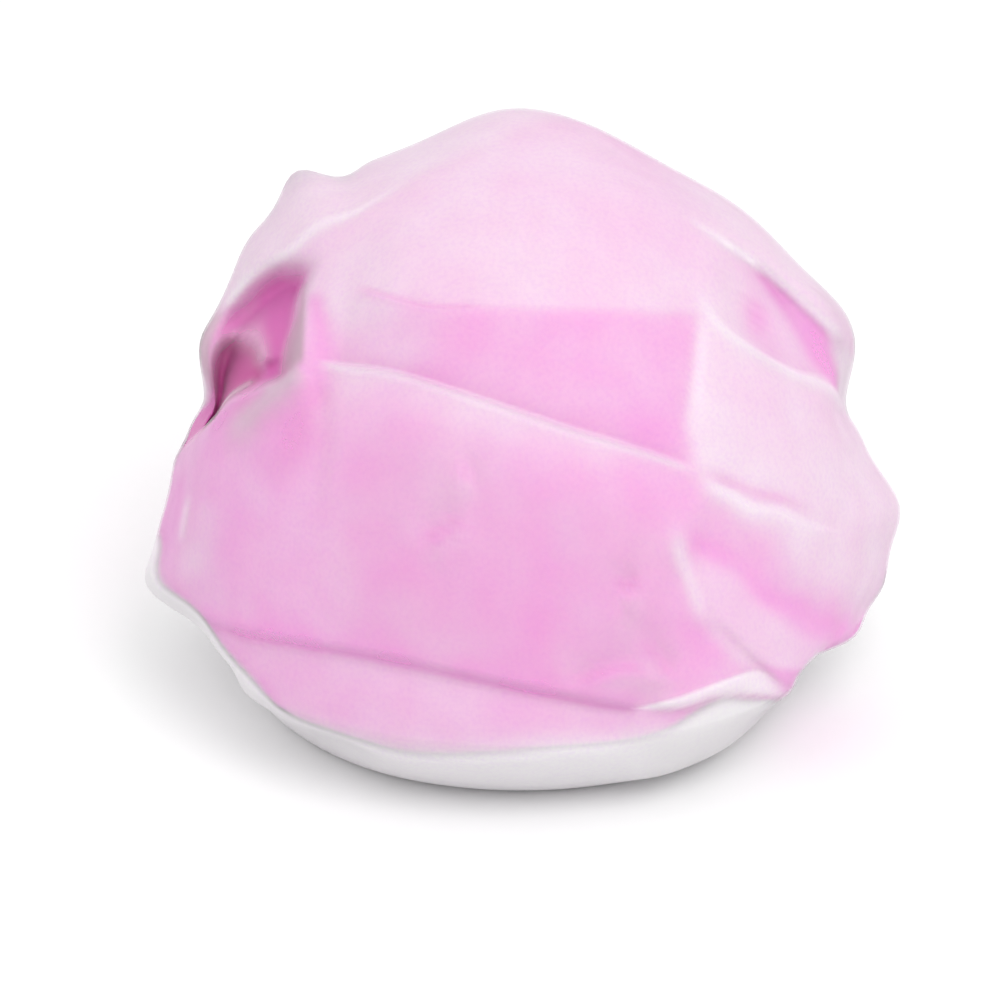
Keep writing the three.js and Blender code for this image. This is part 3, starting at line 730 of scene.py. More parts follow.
# %% Broad milk of the nape
BROAD_MILK = [
    Patch(CROWN_MILK, [(LONG_CROWN_EDGE, 11.0)]),
    Patch(CROWN_MILK, [(CROWN_EDGE[1:], 2.0), ([(-30, 140), (-30, 60)], 16.0)]),
    Streak(MILK_BASE, [(-36, 93), (0, 92), (40, 91), (64, 91)], 5.0, 9.0, (20, 8)),
    Patch(SHOULDER_MILK, [(LONG_CREST, 4.0)]),
    Patch(SHOULDER_MILK, [
        ([(40, 150), *RIGHT_CREST, (145, 70)], 5.0),
        ([(80, 200), (68, 130), (62, 110)], 16.0),
    ]),
    # right lobe, above its diagonal end
    Patch(LOBE_MILK, [
        ([(68, 112), (66.5, 98), (65, 84), (63, 66), (62, 50), (64, 30)], 3.5),
        ([(52, 34), (65, 38), (84, 24), (105, 0), (128, -14), (140, -20)], 9.0),
        ([(140, 100), (110, 104), (80, 106), (60, 108)], 12.0),
    ]),
    # pale cloth below the valley and below the bottom crease
    Patch(0.33, [
        ([(61, 20), (66, -10), (72, -24), (98, -46)], 2.5),
        ([(140, -34), (112, -25), (97, -16), (86, -4), (72, 6), (58, 13)], 4.0),
    ]),
    Patch(0.27, [([*BOTTOM_CREASE[::-1], (-140, -12)], 2.5)]),
    # clear corner beside the crescent
    Patch(0.15, [
        ([(128, -20), (118.6, -25.8), (106.4, -32.9), (98, -33.5), (88, -31)], 2.0),
        ([(82, -26), (88, -31.5), (100, -43), (106, -49)], 2.0),
    ]),
]
print(len(BROAD_MILK), "broad milk zones on the nape side")

# %% Milk of the pocket and the right hollow
HOLLOW_MILK = [
    # the lip of the pocket, and the lobe under it
    Streak(0.38, LIP, 5.0, 6.0, (4, 20)),
    Streak(0.15, [(-92, 72.5), (-97.5, 69.5), (-109, 60.5), (-118, 52)], 3.5, 4.0, (6, 10)),
    Streak(0.155, UNDER_LIP, 9.0, 7.0, (8, 16)),
    Streak(0.30, LEFT_SIDE, 8.0, 8.0, (12, 12)),
    # right hollow, the sliver of it that lies deepest, and the film beside it
    Patch(0.30, [
        (ABOVE_RIGHT_CREST, 2.0), (BELOW_RIGHT_RIM, 2.5),
        ([(90, 130), (85, 112), (84, 98), (86, 82)], 7.0),
    ]),
    Streak(0.15, [(86, 107), (87, 96), (88.5, 85)], 4.5, 4.5, (10, 10)),
    Patch(0.14, [([(140, 74), *RIGHT_CREST[::-1]], 2.0), (RIGHT_TUCK, 2.0), (BELOW_RIGHT_RIM, 2.0)]),
    Patch(0.56, [(SLIVER, 2.5), (ABOVE_RIGHT_CREST, 2.0), (BELOW_RIGHT_RIM, 2.0)]),
    # left pocket, and its right wall seen edge on
    Patch(0.0, [(POCKET_WALL, 2.5), (POCKET_SLOPE, 4.0), (POCKET_RIM, 2.5)]),
    Patch(0.30, FACET_EDGES),
    Streak(0.14, [(-76, 108), (-75, 100), (-72.5, 88), (-74, 72), (-73, 58)], 4.5, 4.0, (8, 12)),
]
print(len(HOLLOW_MILK), "milk zones at the two hollows of the nape")

# %% Milk, painted highlight and painted shade along the creases of the nape
CREASE_MILK_AND_PAINTED_LIGHT = [
    # the waist: milky below, clear just above, white along the crest, partly as a painted highlight
    Streak(0.36, WAIST, 1.5, 13.0, (20, 50)),
    Streak(0.31, [(-60, 91), (-45, 86), (-20, 82)], 9.0, 9.0, (8, 16)),
    Streak(0.20, [(-34, 76), (-15, 70), (15, 60), (45, 51), (62, 45)], 9.0, 3.0, (40, 10)),
    Streak(0.46, WAIST, 0.9, 2.2, (10, 12)),
    Streak(0.47, BAND_END, 2.6, 2.0, (8, 12)),
    Streak(0.24, BAND_CREASE, 1.5, 3.0, (8, 10)),
    Streak(0.37, CROWN_CREASE, 1.8, 2.4, (12, 14)),
    # the crests are whiter, partly where the film stands off and partly as a painted highlight
    Streak(0.60, LEFT_CREST[1:], 1.3, 1.3, (10, 30)),
    Streak(0.30, LEFT_RIM, 3.0, 3.0, (8, 8)),
    Streak(0.68, RIGHT_CREST, 1.4, 1.3, (20, 8)),
    Streak(0.58, RIGHT_RIM, 1.0, 2.6, (18, 6)),
    Streak(0.25, [(67, 39), (77, 34.5), (88, 30.5), (97, 28.5), (110, 23)], 2.5, 2.0, (8, 18)),
    Streak(0.52, LOBE_RIDGE, 1.2, 4.5, (10, 26)),
    Streak(0.14, VALLEY, 4.0, 5.0, (10, 6)),
    Streak(0.48, STREAK, 2.2, 2.8, (12, 12)),
    # a dent is painted shade, clear and deeper pink along its line, with a painted highlight a little paler
    # below it
    *(Streak(0.14, dent, 2.6, 3.0, (8, 8)) for dent in DENTS),
    *(Streak(0.26, [(x + 1.0, y - 6.0) for x, y in dent], 3.0, 4.0, (8, 8)) for dent in DENTS),
    Patch(0.60, [
        (CRESCENT_FOOT, 1.0), ([(97, -40), *CRESCENT[::-1]], 1.0), ([(99, -50), (88, -30)], 5.0),
    ]),
    # clear and deeper pink just above the bottom crease, partly film pressed on the cloth and partly painted
    # shade under the overhang
    Streak(0.13, BOTTOM_CREASE, 6.0, 2.0, (24, 6)),
    Streak(0.34, ROLL_TOP, 1.3, 1.3, (6, 6)),
    Streak(0.20, ROLL_SIDE, 2.2, 2.2, (8, 4)),
    Streak(0.42, POCKET_LINE, 1.1, 1.1, (10, 4)),
    Streak(0.16, [(-129, 44), (-131.5, 24), (-133, 6)], 3.0, 3.0, (10, 10)),
    Streak(0.40, EDGE_CREST, 1.6, 1.6, (6, 6)),
]
print(len(CREASE_MILK_AND_PAINTED_LIGHT), "milk zones along the creases of the nape")

# %% Milk at the lower border of the nape
BORDER_MILK = [
    # the cloth is pressed on the film along its lower edge
    Streak(0.13, FILM_ONLY[4:8], 4.0, 4.0, (6, 6)),
    Streak(0.15, FILM_ONLY[13:19], 4.0, 4.0, (8, 8)),
    Patch(0.50, [(SOFT_EDGE, 6.0)]),
    Patch(ALONE_MILK, [(FILM_ONLY, 3.5)]),
]
NAPE_MILK = [*BROAD_MILK, *HOLLOW_MILK, *CREASE_MILK_AND_PAINTED_LIGHT, *BORDER_MILK]
print(len(NAPE_MILK), "milk zones on the nape side")

# %% Milk of the brow
BROW_MILK = [
    Patch(CROWN_MILK, [([(-80, 100), *BROW_CROWN_EDGE, (80, 96)], 5.0)]),
    Patch(SHOULDER_MILK, [([(-130, 70), *BROW_LEFT_CREST, (0, 170)], 4.0)]),
    Patch(0.15, list(zip(BROW_POCKET, (3.0, 7.0, 9.0)))),
    Streak(0.62, BROW_WAIST, 2.0, 9.0, (16, 16)),
    Streak(0.13, [(-70, 68), (-40, 79), (0, 82), (40, 71), (68, 58)], 10.0, 3.0, (16, 16)),
    Streak(0.74, BROW_LEFT_CREST, 3.0, 2.0, (10, 24)),
    Streak(0.74, BROW_RIGHT_CREST, 3.0, 2.0, (16, 8)),
    Streak(0.13, BROW_LEFT_VALLEY, 6.0, 6.0, (12, 8)),
    Streak(0.13, BROW_RIGHT_VALLEY, 6.0, 6.0, (12, 8)),
    Streak(0.60, BROW_STREAK, 3.0, 2.5, (12, 12)),
    Streak(0.13, BROW_BOTTOM, 6.0, 2.0, (20, 20)),
]
print(len(BROW_MILK), "milk zones on the brow side")

# %% Drawing the milk
LINING_END = DOME_STEPS + FOLD_STEPS
CRINKLES = [(38.0, 0.07), (12.0, 0.045)]
POCKET_ROUNDS, EAR_ROUNDS = 2, 6


def drawn(zones, start, across, up):
    """Values that each zone draws from the start towards its own."""
    value = np.full(across.shape, start)
    for zone in zones:
        if isinstance(zone, Patch):
            share = hollow_share(zone, across, up)
        else:
            side, along, length = beside(smooth_line(zone.line), across, up)
            share = np.exp(-((side / np.where(side > 0, zone.above, zone.below)) ** 2))
            share *= smoothstep(along, 0.0, zone.ends[0]) * smoothstep(length - along, 0.0, zone.ends[1])
        value += (zone.value - value) * share
    return value


across, up, toward = on_plane(PLAIN_FILM, 1)
back_across, back_up, _ = on_plane(PLAIN_FILM, -1)
nape_share = smoothstep(toward, -SIDE_BLEND, SIDE_BLEND)
film_milk = drawn(NAPE_MILK, MILK_BASE, across, up) * nape_share
film_milk += drawn(BROW_MILK, MILK_BASE, back_across, back_up) * (1.0 - nape_share)
film_milk += sum(crinkle(PLAIN_FILM, size, height) for size, height in CRINKLES)
film_milk = (np.roll(film_milk, 1, axis=1) + 2 * film_milk + np.roll(film_milk, -1, axis=1)) / 4
in_pocket = hollow_share(POCKET, across, up) * nape_share
for _ in range(POCKET_ROUNDS):
    film_milk += in_pocket * (neighbours_middle(film_milk) - film_milk)
over_ears = 4.0 * nape_share * (1.0 - nape_share)
for _ in range(EAR_ROUNDS):
    film_milk += over_ears * (neighbours_middle(film_milk) - film_milk)
film_milk = np.clip(film_milk, LEAST_MILK * (1.0 - in_pocket), 1.0)
print("mean milkiness over the dome", round(float(film_milk[:DOME_STEPS].mean()), 2))

# %% [markdown]
# ## The lining
# The lining is the film's own shape a little further in, by more where the film stands off. Below the
# girth it leaves the film and turns under earlier, so that the bottom of the cap is film alone.

# %% The way outwards
NORMAL_ROUNDS = 3


def ring_normals(rings):
    """Outward normals of a grid of rings."""
    around = np.roll(rings, -1, axis=1) - np.roll(rings, 1, axis=1)
    down = np.gradient(rings, axis=0)
    normals = np.cross(down, around)
    return normals / np.maximum(np.linalg.norm(normals, axis=-1, keepdims=True), 1e-9)


film_normals = ring_normals(film_rings)
for _ in range(NORMAL_ROUNDS):
    film_normals = neighbours_middle(film_normals)
film_normals /= np.linalg.norm(film_normals, axis=-1, keepdims=True)
print("the film faces up on", round(100 * float((film_normals[..., 2] > 0).mean())), "% of its points")

# %% Lining
LEAST_GAP, MOST_GAP = 0.8, 7.0
GAP_OPENS = 0.5
LEAVING_START, LEAVING_RUN = 3.0, 14.0
BROW_EARLY, BROW_LATE = 4.0, 10.0
shared = len(LINING_SECTION)
air = LEAST_GAP + (MOST_GAP - LEAST_GAP) * smoothstep(film_milk, GAP_OPENS, 1.0)
hung = PLAIN_LINING + FILM_MOVE[:shared]
clung = film_rings[:shared] - film_normals[:shared] * air[:shared, :, None]
rows = np.arange(shared, dtype=float)[:, None]
beyond = beside(smooth_line(FILM_ONLY), across[:shared], up[:shared])[0]
leaving_nape = smoothstep(beyond, LEAVING_START, LEAVING_START + LEAVING_RUN)
leaving_brow = smoothstep(rows, DOME_STEPS - BROW_EARLY, DOME_STEPS + BROW_LATE)
leaving = leaving_brow + (leaving_nape - leaving_brow) * nape_share[:shared]
leaving = np.maximum(leaving, smoothstep(rows, DOME_STEPS + BROW_LATE, LINING_END))
lining_rings = clung + (hung - clung) * leaving[..., None]
lining_rings[..., 2] += np.maximum(gathers(LINING_SECTION), 0.0)
lining_rings = ruffled(lining_rings, LINING_SECTION)
gap = ((film_rings[:DOME_STEPS] - lining_rings[:DOME_STEPS]) * film_normals[:DOME_STEPS]).sum(-1)
print("air gap over the dome from", round(float(gap.min()), 2), "to", round(float(gap.max()), 1), "mm")

# %% Where the lining's pink is deepened as painted shade
# Painted shade: the lining's pink is made deeper and darker in the pocket, its roll and its wall, under the
# lip, along the left rim and a little over the lower front.
NAPE_CLOTH_SHADE = [
    Patch(0.12, FRONT_EDGES),
    Streak(0.35, LIP, 9.0, 9.0, (2, 20)),
    Streak(0.22, UNDER_LIP, 8.0, 7.0, (8, 16)),
    Streak(0.80, LEFT_RIM, 5.0, 5.0, (6, 6)),
    Patch(0.62, POCKET.edges),
    Patch(0.70, FACET_EDGES),
    Patch(1.0, ROLL_INSIDE.edges),
]
cloth_shade = (drawn(NAPE_CLOTH_SHADE, 0.0, across, up) * nape_share)[:shared]
print("the cloth lies double on", round(100 * float((cloth_shade > 0.5).mean()), 1), "% of its points")

# %% [markdown]
# ## Where the film hangs alone
# Below its border the lining has turned under, and the film hangs by itself. Nothing lies close behind
# it to shine through, so it reads as plain white. The nape has this border drawn among its zones. The
# rest of the cap could have it drawn too, but measuring how far the two sheets are apart keeps the
# colour true all round.

# %% The film below the lining
MILK_BEGINS, FULL_MILK = 4.0, 12.0
LEAVING_SEEN = 0.06
apart = ((film_rings[:LINING_END] - lining_rings[:LINING_END]) * film_normals[:LINING_END]).sum(-1)
film_milk[:LINING_END] = np.maximum(film_milk[:LINING_END], smoothstep(apart, MILK_BEGINS, FULL_MILK))
film_milk[LINING_END:] = 1.0
alone = ALONE_MILK * smoothstep(leaving, 0.0, LEAVING_SEEN)
film_milk[:shared] = np.maximum(film_milk[:shared], alone)
print("the sheets are up to", round(float(apart.max()), 1), "mm apart at the bottom")

# %% [markdown]
# ## From rings to sheets
# So far the two bags are arrays of points. Each becomes a mesh, with a face between every four
# neighbours and a fan at the crown, and a Solidify modifier gives it its thickness. A mesh made from
# arrays keeps its points in order, so what is known about each point can ride along as an attribute:
# how much the film hides, how far its white is greyed as painted shade, and how far the lining's pink
# is deepened as painted shade.
# The UV map holds each point's place on the flat cut.

# %% Meshes of the sheets
def cut_places(section):
    """Where each point of a bag lay on the flat round of cloth that it was cut from, in metres."""
    crown = np.stack([np.zeros(COLUMNS), section[0, :, 1]], axis=-1)
    steps = np.diff(np.concatenate([crown[None], section]), axis=0)
    run = np.cumsum(np.linalg.norm(steps, axis=-1), axis=0) * MM
    return np.stack([run * np.sin(ANGLES), -run * np.cos(ANGLES)], axis=-1)


def sheet_piece(name, rings, thickness, cut, attributes):
    """A sheet of even thickness through the rings, closed at the crown."""
    count = len(rings)
    crown = rings[0].mean(axis=0)
    points = np.concatenate([crown[None], rings.reshape(-1, 3)]) * MM + np.array(AXIS)
    at = 1 + np.arange(count * COLUMNS).reshape(count, COLUMNS)
    after = np.roll(at, -1, axis=1)
    quads = np.stack([at[:-1], at[1:], after[1:], after[:-1]], axis=-1).reshape(-1, 4)
    fan = np.stack([np.zeros(COLUMNS, int), at[0], after[0]], axis=-1)
    mesh = bpy.data.meshes.new(name)
    mesh.from_pydata(points.tolist(), [], fan.tolist() + quads.tolist())
    for key, values in attributes.items():
        layer = mesh.attributes.new(key, "FLOAT", "POINT")
        layer.data.foreach_set("value", np.concatenate([[values[0].mean()], values.ravel()]))
    corners = np.array([loop.vertex_index for loop in mesh.loops])
    flat = np.concatenate([np.zeros((1, 2)), cut.reshape(-1, 2)])
    mesh.uv_layers.new(name="cut").data.foreach_set("uv", flat[corners].ravel())
    piece = bpy.data.objects.new(name, mesh)
    bpy.context.scene.collection.objects.link(piece)
    bpy.context.view_layer.objects.active = piece
    piece.select_set(True)
    bpy.ops.object.shade_smooth()
    wall = piece.modifiers.new("wall", "SOLIDIFY")
    wall.thickness = thickness * MM
    wall.offset = 0.0
    bpy.ops.object.modifier_apply(modifier=wall.name)
    piece.select_set(False)
    print(name, len(piece.data.polygons), "faces")
    return piece


def clear_inside(piece, key):
    """A sheet hides what is behind it once, with its outer face; the face inside stays clear."""
    values = piece.data.attributes[key].data
    half = len(piece.data.vertices) // 2
    heights = piece.data.vertices[0].co.z, piece.data.vertices[half].co.z
    start = half if heights[0] > heights[1] else 0
    for vertex in range(start, start + half):
        values[vertex].value = 0.0


print("a sheet becomes a mesh of", COLUMNS, "columns")

# %% The two sheets
CLEAR_HIDES, MILKY_HIDES = 0.04, 0.84
ALONE_FILM_SHADE = 0.5
FILM_SHADE_BEGINS, FILM_SHADE_FULL = 0.75, 0.95
# Painted shade: the film's white is greyed over the lower front, under the lip, at the bottom where it hangs
# alone, beside the right sliver, along the left rim and on the pocket's wall.
NAPE_FILM_SHADE = [
    Patch(0.30, FRONT_EDGES),
    Streak(0.75, LIP, 8.0, 8.0, (4, 20)),
    Patch(0.70, [(FILM_ONLY, 4.0), ([(38, -30), (38, -90)], 16.0)]),
    Patch(0.28, [(SLIVER, 3.0), (BELOW_RIGHT_RIM, 3.0)]),
    Streak(1.0, LEFT_RIM, 4.0, 4.0, (8, 6)),
    Patch(1.0, FACET_EDGES),
]
film_cut, lining_cut = cut_places(FILM_SECTION), cut_places(LINING_SECTION)
film_hides = 1.0 - (1.0 - CLEAR_HIDES - (MILKY_HIDES - CLEAR_HIDES) * film_milk) ** 2
film_shade_paint = drawn(NAPE_FILM_SHADE, 0.0, across, up) * nape_share
film_shade_paint = np.maximum(film_shade_paint, ALONE_FILM_SHADE * smoothstep(film_milk, FILM_SHADE_BEGINS, FILM_SHADE_FULL))
film_values = {"hides": film_hides, "film_shade": film_shade_paint}
film = sheet_piece("cap_film", film_rings, FILM_THICKNESS, film_cut, film_values)
clear_inside(film, "hides")
lining = sheet_piece("cap_lining", lining_rings, LINING_THICKNESS, lining_cut, {"cloth_shade": cloth_shade})

# %% [markdown]
# ## The elastic
# A flat woven elastic runs once round inside the turned hem, and its end laps over its start for a
# short way. A ribbon along a curve would do, but a real elastic has ribs, one for each rubber thread
# inside. So its section is a small grid with every second row drawn in, and the section is spun round
# the axis of the cap. Then the band is laid on the hem: it drifts outwards towards its lapped end, and
# waves in and out with the gathers.

# %% Laying things on the hem
ELASTIC_MIDDLE = (ELASTIC_TOP + ELASTIC_BOTTOM) / 2
LAPS_IN_ROUND = 32
LAP_ANGLE = 2 * math.pi / LAPS_IN_ROUND


def lay_on_hem(piece, drift=None):
    """Each point keeps its angle, and moves with the ruffles of the hem and the oval of the cap."""
    points = np.array([v.co for v in piece.data.vertices])
    off = points - np.array(AXIS)
    angle = np.arctan2(off[:, 0], -off[:, 1])
    radius = np.hypot(off[:, 0], off[:, 1]) + RUFFLE_DEPTH * MM * gather_wave(angle)
    if drift is not None:
        radius += drift
    off[:, 0] = radius * np.sin(angle)
    off[:, 1] = -radius * np.cos(angle) * DEPTH_RATIO
    piece.data.vertices.foreach_set("co", (off + np.array(AXIS)).ravel())
    piece.data.update()


def select_where(piece, wanted):
    """Edit mode with only the wanted vertices selected."""
    bpy.ops.object.mode_set(mode="EDIT")
    bpy.ops.mesh.select_mode(type="VERT")
    bpy.ops.mesh.select_all(action="DESELECT")
    bpy.ops.object.mode_set(mode="OBJECT")
    for vertex in piece.data.vertices:
        vertex.select = wanted(vertex)
    bpy.ops.object.mode_set(mode="EDIT")


def at_hem(radius, height):
    """The point of the nape at this radius and height."""
    return AXIS + Vector((0.0, -radius * MM, height * MM))


print("the elastic lies from", round(ELASTIC_BOTTOM, 1), "to", round(ELASTIC_TOP, 1), "mm above the floor")
print("the lap of the elastic is", round(HEM_RADIUS * LAP_ANGLE, 1), "mm long")

# %% Elastic
ELASTIC_ROWS = 12
ELASTIC_STEPS = 330
RIB_WAIST = 0.72
RIB_EDGE = math.radians(50)
inner_middle = HEM_WALL + FILM_THICKNESS / 2 + CLEARANCE + ELASTIC_THICKNESS / 2
section_place = at_hem(inner_middle, ELASTIC_MIDDLE)
bpy.ops.object.select_all(action="DESELECT")
bpy.ops.mesh.primitive_grid_add(
    x_subdivisions=ELASTIC_ROWS, y_subdivisions=1, size=1.0,
    location=section_place, rotation=(0, -math.pi / 2, 0),
)
elastic = bpy.context.object
elastic.name = "hem_elastic"
bpy.ops.object.transform_apply(location=True, rotation=True, scale=True)
bpy.ops.object.mode_set(mode="EDIT")
bpy.ops.mesh.select_all(action="SELECT")
section_size = (1, ELASTIC_THICKNESS * MM, ELASTIC_WIDTH * MM)
bpy.ops.transform.resize(value=section_size, center_override=section_place)
bpy.ops.object.mode_set(mode="OBJECT")
row_height = ELASTIC_WIDTH * MM / ELASTIC_ROWS
lowest = section_place.z - ELASTIC_WIDTH * MM / 2
select_where(elastic, lambda vertex: round((vertex.co.z - lowest) / row_height) % 2 == 1)
bpy.ops.transform.resize(value=(1, RIB_WAIST, 1), center_override=section_place)
bpy.ops.mesh.select_all(action="SELECT")
bpy.ops.mesh.spin(steps=ELASTIC_STEPS, angle=2 * math.pi + LAP_ANGLE, center=AXIS, axis=(0, 0, 1))
bpy.ops.mesh.select_all(action="SELECT")
bpy.ops.mesh.normals_make_consistent(inside=False)
bpy.ops.object.mode_set(mode="OBJECT")
per_step = len(elastic.data.vertices) // (ELASTIC_STEPS + 1)
step = np.arange(len(elastic.data.vertices)) // per_step
lap_share = smoothstep(step / ELASTIC_STEPS * (2 * math.pi + LAP_ANGLE), LAP_ANGLE, 2 * math.pi)
lay_on_hem(elastic, (ELASTIC_THICKNESS + CLEARANCE) * MM * lap_share)
bpy.ops.object.shade_smooth_by_angle(angle=RIB_EDGE)
print("elastic", len(elastic.data.polygons), "faces,", per_step, "points in its section")

# %% [markdown]
# ## The threads
# Two seams hold the hem: a zigzag that closes the turned edge, seen from inside the cap, and a short
# tack across the lapped ends of the elastic. Each is one thread. A circle of points is added at the
# seam, every second point is lifted, and the line becomes a curve with a round bevel and then a mesh.

# %% Zigzag thread
THREAD_CUTS, THREAD_BEND, THREAD_SIDES = 2, 0.6, 2


def zigzag(name, points, radius, middle, height, keep=None):
    """A thread that goes up and down round the hem, or over a stretch of it from one angle to another."""
    bpy.ops.object.select_all(action="DESELECT")
    foot = AXIS + Vector((0, 0, (middle - height / 2) * MM))
    bpy.ops.mesh.primitive_circle_add(vertices=points, radius=radius * MM, location=foot)
    thread = bpy.context.object
    thread.name = name
    select_where(thread, lambda vertex: vertex.index % 2 == 1)
    bpy.ops.transform.translate(value=(0, 0, height * MM))
    bpy.ops.object.mode_set(mode="OBJECT")
    if keep is not None:
        first, last = keep
        select_where(thread, lambda vertex: not first <= math.atan2(vertex.co.x, -vertex.co.y) <= last)
        bpy.ops.mesh.delete(type="VERT")
    bpy.ops.object.mode_set(mode="EDIT")
    bpy.ops.mesh.select_all(action="SELECT")
    bpy.ops.mesh.subdivide(number_cuts=THREAD_CUTS, smoothness=THREAD_BEND)
    bpy.ops.object.mode_set(mode="OBJECT")
    bpy.ops.object.convert(target="CURVE")
    thread.data.bevel_depth = THREAD * MM / 2
    thread.data.bevel_resolution = THREAD_SIDES
    thread.data.use_fill_caps = True
    bpy.ops.object.convert(target="MESH")
    bpy.ops.object.transform_apply(location=True, rotation=True, scale=True)
    lay_on_hem(thread)
    bpy.ops.object.shade_smooth()
    print(name, len(thread.data.polygons), "faces")
    return thread


print("a thread is", THREAD, "mm thick")

# %% Threads
HEM_STITCHES = 96
TACK_POINTS = 768
seam_radius = HEM_RADIUS - CLEARANCE - THREAD / 2
seam_height = HEM_ALLOWANCE / 2
seam = zigzag("hem_seam", 2 * HEM_STITCHES, seam_radius, HEM_BOTTOM + seam_height, seam_height)
tack_radius = inner_middle - ELASTIC_THICKNESS / 2 + 2 * (ELASTIC_THICKNESS + CLEARANCE) + THREAD / 2
tack_angles = (LAP_ANGLE / 4, LAP_ANGLE * 3 / 4)
tack = zigzag("elastic_tack", TACK_POINTS, tack_radius, ELASTIC_MIDDLE, ELASTIC_WIDTH / 2, tack_angles)

# %% [markdown]
# ## The film's finish
# The film is white plastic that hides more or less of what lies behind it, by its own attribute. Glass
# with a rough surface would be the other way, but it needs many light bounces and shows noise, while a
# see-through white does the same here. Where the film hangs alone at the bottom, and over the lower
# front, the lip, the left rim and the pocket's wall, its white is greyed as painted shade. Thin film is
# never flat: fine creases catch the light, its gloss is uneven, and the frost has a fine lilac grain.

# %% Material helpers
USUAL_LOW, USUAL_HIGH = 0.3, 0.7


def material(name, slot, *pieces):
    """A new material on these pieces, as its tree and its main shader."""
    made = bpy.data.materials.new(name)
    made.use_nodes = True
    for piece in pieces:
        piece.data.materials.clear()
        piece.data.materials.append(made)
    return made.node_tree, made.node_tree.nodes["Principled BSDF"]


def node(tree, kind, **settings):
    """A node with its settings, and its inputs by name."""
    made = tree.nodes.new(kind)
    for key, value in settings.items():
        if key in made.inputs:
            made.inputs[key].default_value = value
        else:
            setattr(made, key, value)
    return made


def noise_at(tree, place, size, detail=2.0):
    """Noise with features of about this size in metres."""
    made = node(tree, "ShaderNodeTexNoise", Scale=1.0 / size, Detail=detail)
    tree.links.new(place, made.inputs["Vector"])
    return made.outputs["Fac"]


def ranged(tree, value, low, high, start=USUAL_LOW, end=USUAL_HIGH):
    """A value from its usual range to another one."""
    made = node(tree, "ShaderNodeMapRange")
    for key, number in (("From Min", start), ("From Max", end), ("To Min", low), ("To Max", high)):
        made.inputs[key].default_value = number
    tree.links.new(value, made.inputs["Value"])
    return made.outputs["Result"]


def mixed(tree, share, first, second):
    """Two colours mixed by a share; either may be a colour or a socket."""
    made = node(tree, "ShaderNodeMix", data_type="RGBA")
    tree.links.new(share, made.inputs["Factor"])
    for socket, colour in ((made.inputs[6], first), (made.inputs[7], second)):
        if isinstance(colour, tuple):
            socket.default_value = (*colour, 1.0)
        else:
            tree.links.new(colour, socket)
    return made.outputs[2]


def summed(tree, *values):
    """The sum of some values."""
    total = values[0]
    for value in values[1:]:
        made = node(tree, "ShaderNodeMath", operation="ADD")
        tree.links.new(total, made.inputs[0])
        tree.links.new(value, made.inputs[1])
        total = made.outputs[0]
    return total


def bumped(tree, shader, height, distance, strength):
    """The shader's surface raised and lowered by a height."""
    made = node(tree, "ShaderNodeBump", Strength=strength, Distance=distance)
    tree.links.new(height, made.inputs["Height"])
    tree.links.new(made.outputs["Normal"], shader.inputs["Normal"])


print("noise is taken to lie between", USUAL_LOW, "and", USUAL_HIGH)

# %% Frosted film
FROST, WORN_FROST = (0.97, 0.937, 0.95), (0.955, 0.93, 0.945)
LILAC_GRAIN, SHADE_GREY = (0.92, 0.84, 0.95), (0.70, 0.69, 0.695)
CREASE_SIZE, GLOSS_SIZE, GRAIN_SIZE = 0.016, 0.045, 0.0016
CREASE_HEIGHT, CREASE_STRENGTH = 0.002, 0.12
tree, shader = material("frosted_film", "frosted_film", film)
place = node(tree, "ShaderNodeTexCoord").outputs["Object"]
creases = noise_at(tree, place, CREASE_SIZE, 4.0)
gloss = noise_at(tree, place, GLOSS_SIZE, 2.0)
hides = node(tree, "ShaderNodeAttribute", attribute_name="hides").outputs["Fac"]
tree.links.new(hides, shader.inputs["Alpha"])
frost = mixed(tree, gloss, FROST, WORN_FROST)
grain = ranged(tree, noise_at(tree, place, GRAIN_SIZE, 3.0), 0.0, 1.0, 0.4, 0.75)
grained = mixed(tree, grain, frost, LILAC_GRAIN)
# Painted shade: the white turns grey by this attribute.
film_shade = node(tree, "ShaderNodeAttribute", attribute_name="film_shade").outputs["Fac"]
tree.links.new(mixed(tree, film_shade, grained, SHADE_GREY), shader.inputs["Base Color"])
tree.links.new(ranged(tree, gloss, 0.36, 0.54), shader.inputs["Roughness"])
bumped(tree, shader, creases, CREASE_HEIGHT, CREASE_STRENGTH)
print("film finish has", len(tree.nodes), "nodes")

# %% [markdown]
# ## The lining's finish
# The lining is a fine plain weave, dyed pink, with a lilac fleck. In the pocket, under its lip and along
# the left rim its pink is painted deeper and darker, as painted shade. The weave has to follow the
# cloth, so it reads the place on the flat cut from the UV map, in metres, and two crossed waves make
# the threads. The flecks are fine noise, and a broad noise lets the dye vary from place to place.

# %% Pink lining
PINK, OTHER_PINK = (0.85, 0.15, 0.63), (0.83, 0.17, 0.65)
LILAC_FLECK, SHADED_PINK = (0.66, 0.16, 0.72), (0.62, 0.06, 0.34)
THREAD_PITCH, FLECK_SIZE, CLOUD_SIZE = 0.0009, 0.0016, 0.045
WEAVE_HEIGHT, WEAVE_STRENGTH = 0.0002, 0.08
WAVE_PERIOD = math.pi / 10


def wave_at(tree, place, direction, pitch, distortion):
    """Waves in one direction, as far apart as the pitch in metres."""
    made = node(tree, "ShaderNodeTexWave", bands_direction=direction, Distortion=distortion)
    made.inputs["Scale"].default_value = WAVE_PERIOD / pitch
    tree.links.new(place, made.inputs["Vector"])
    return made.outputs["Fac"]


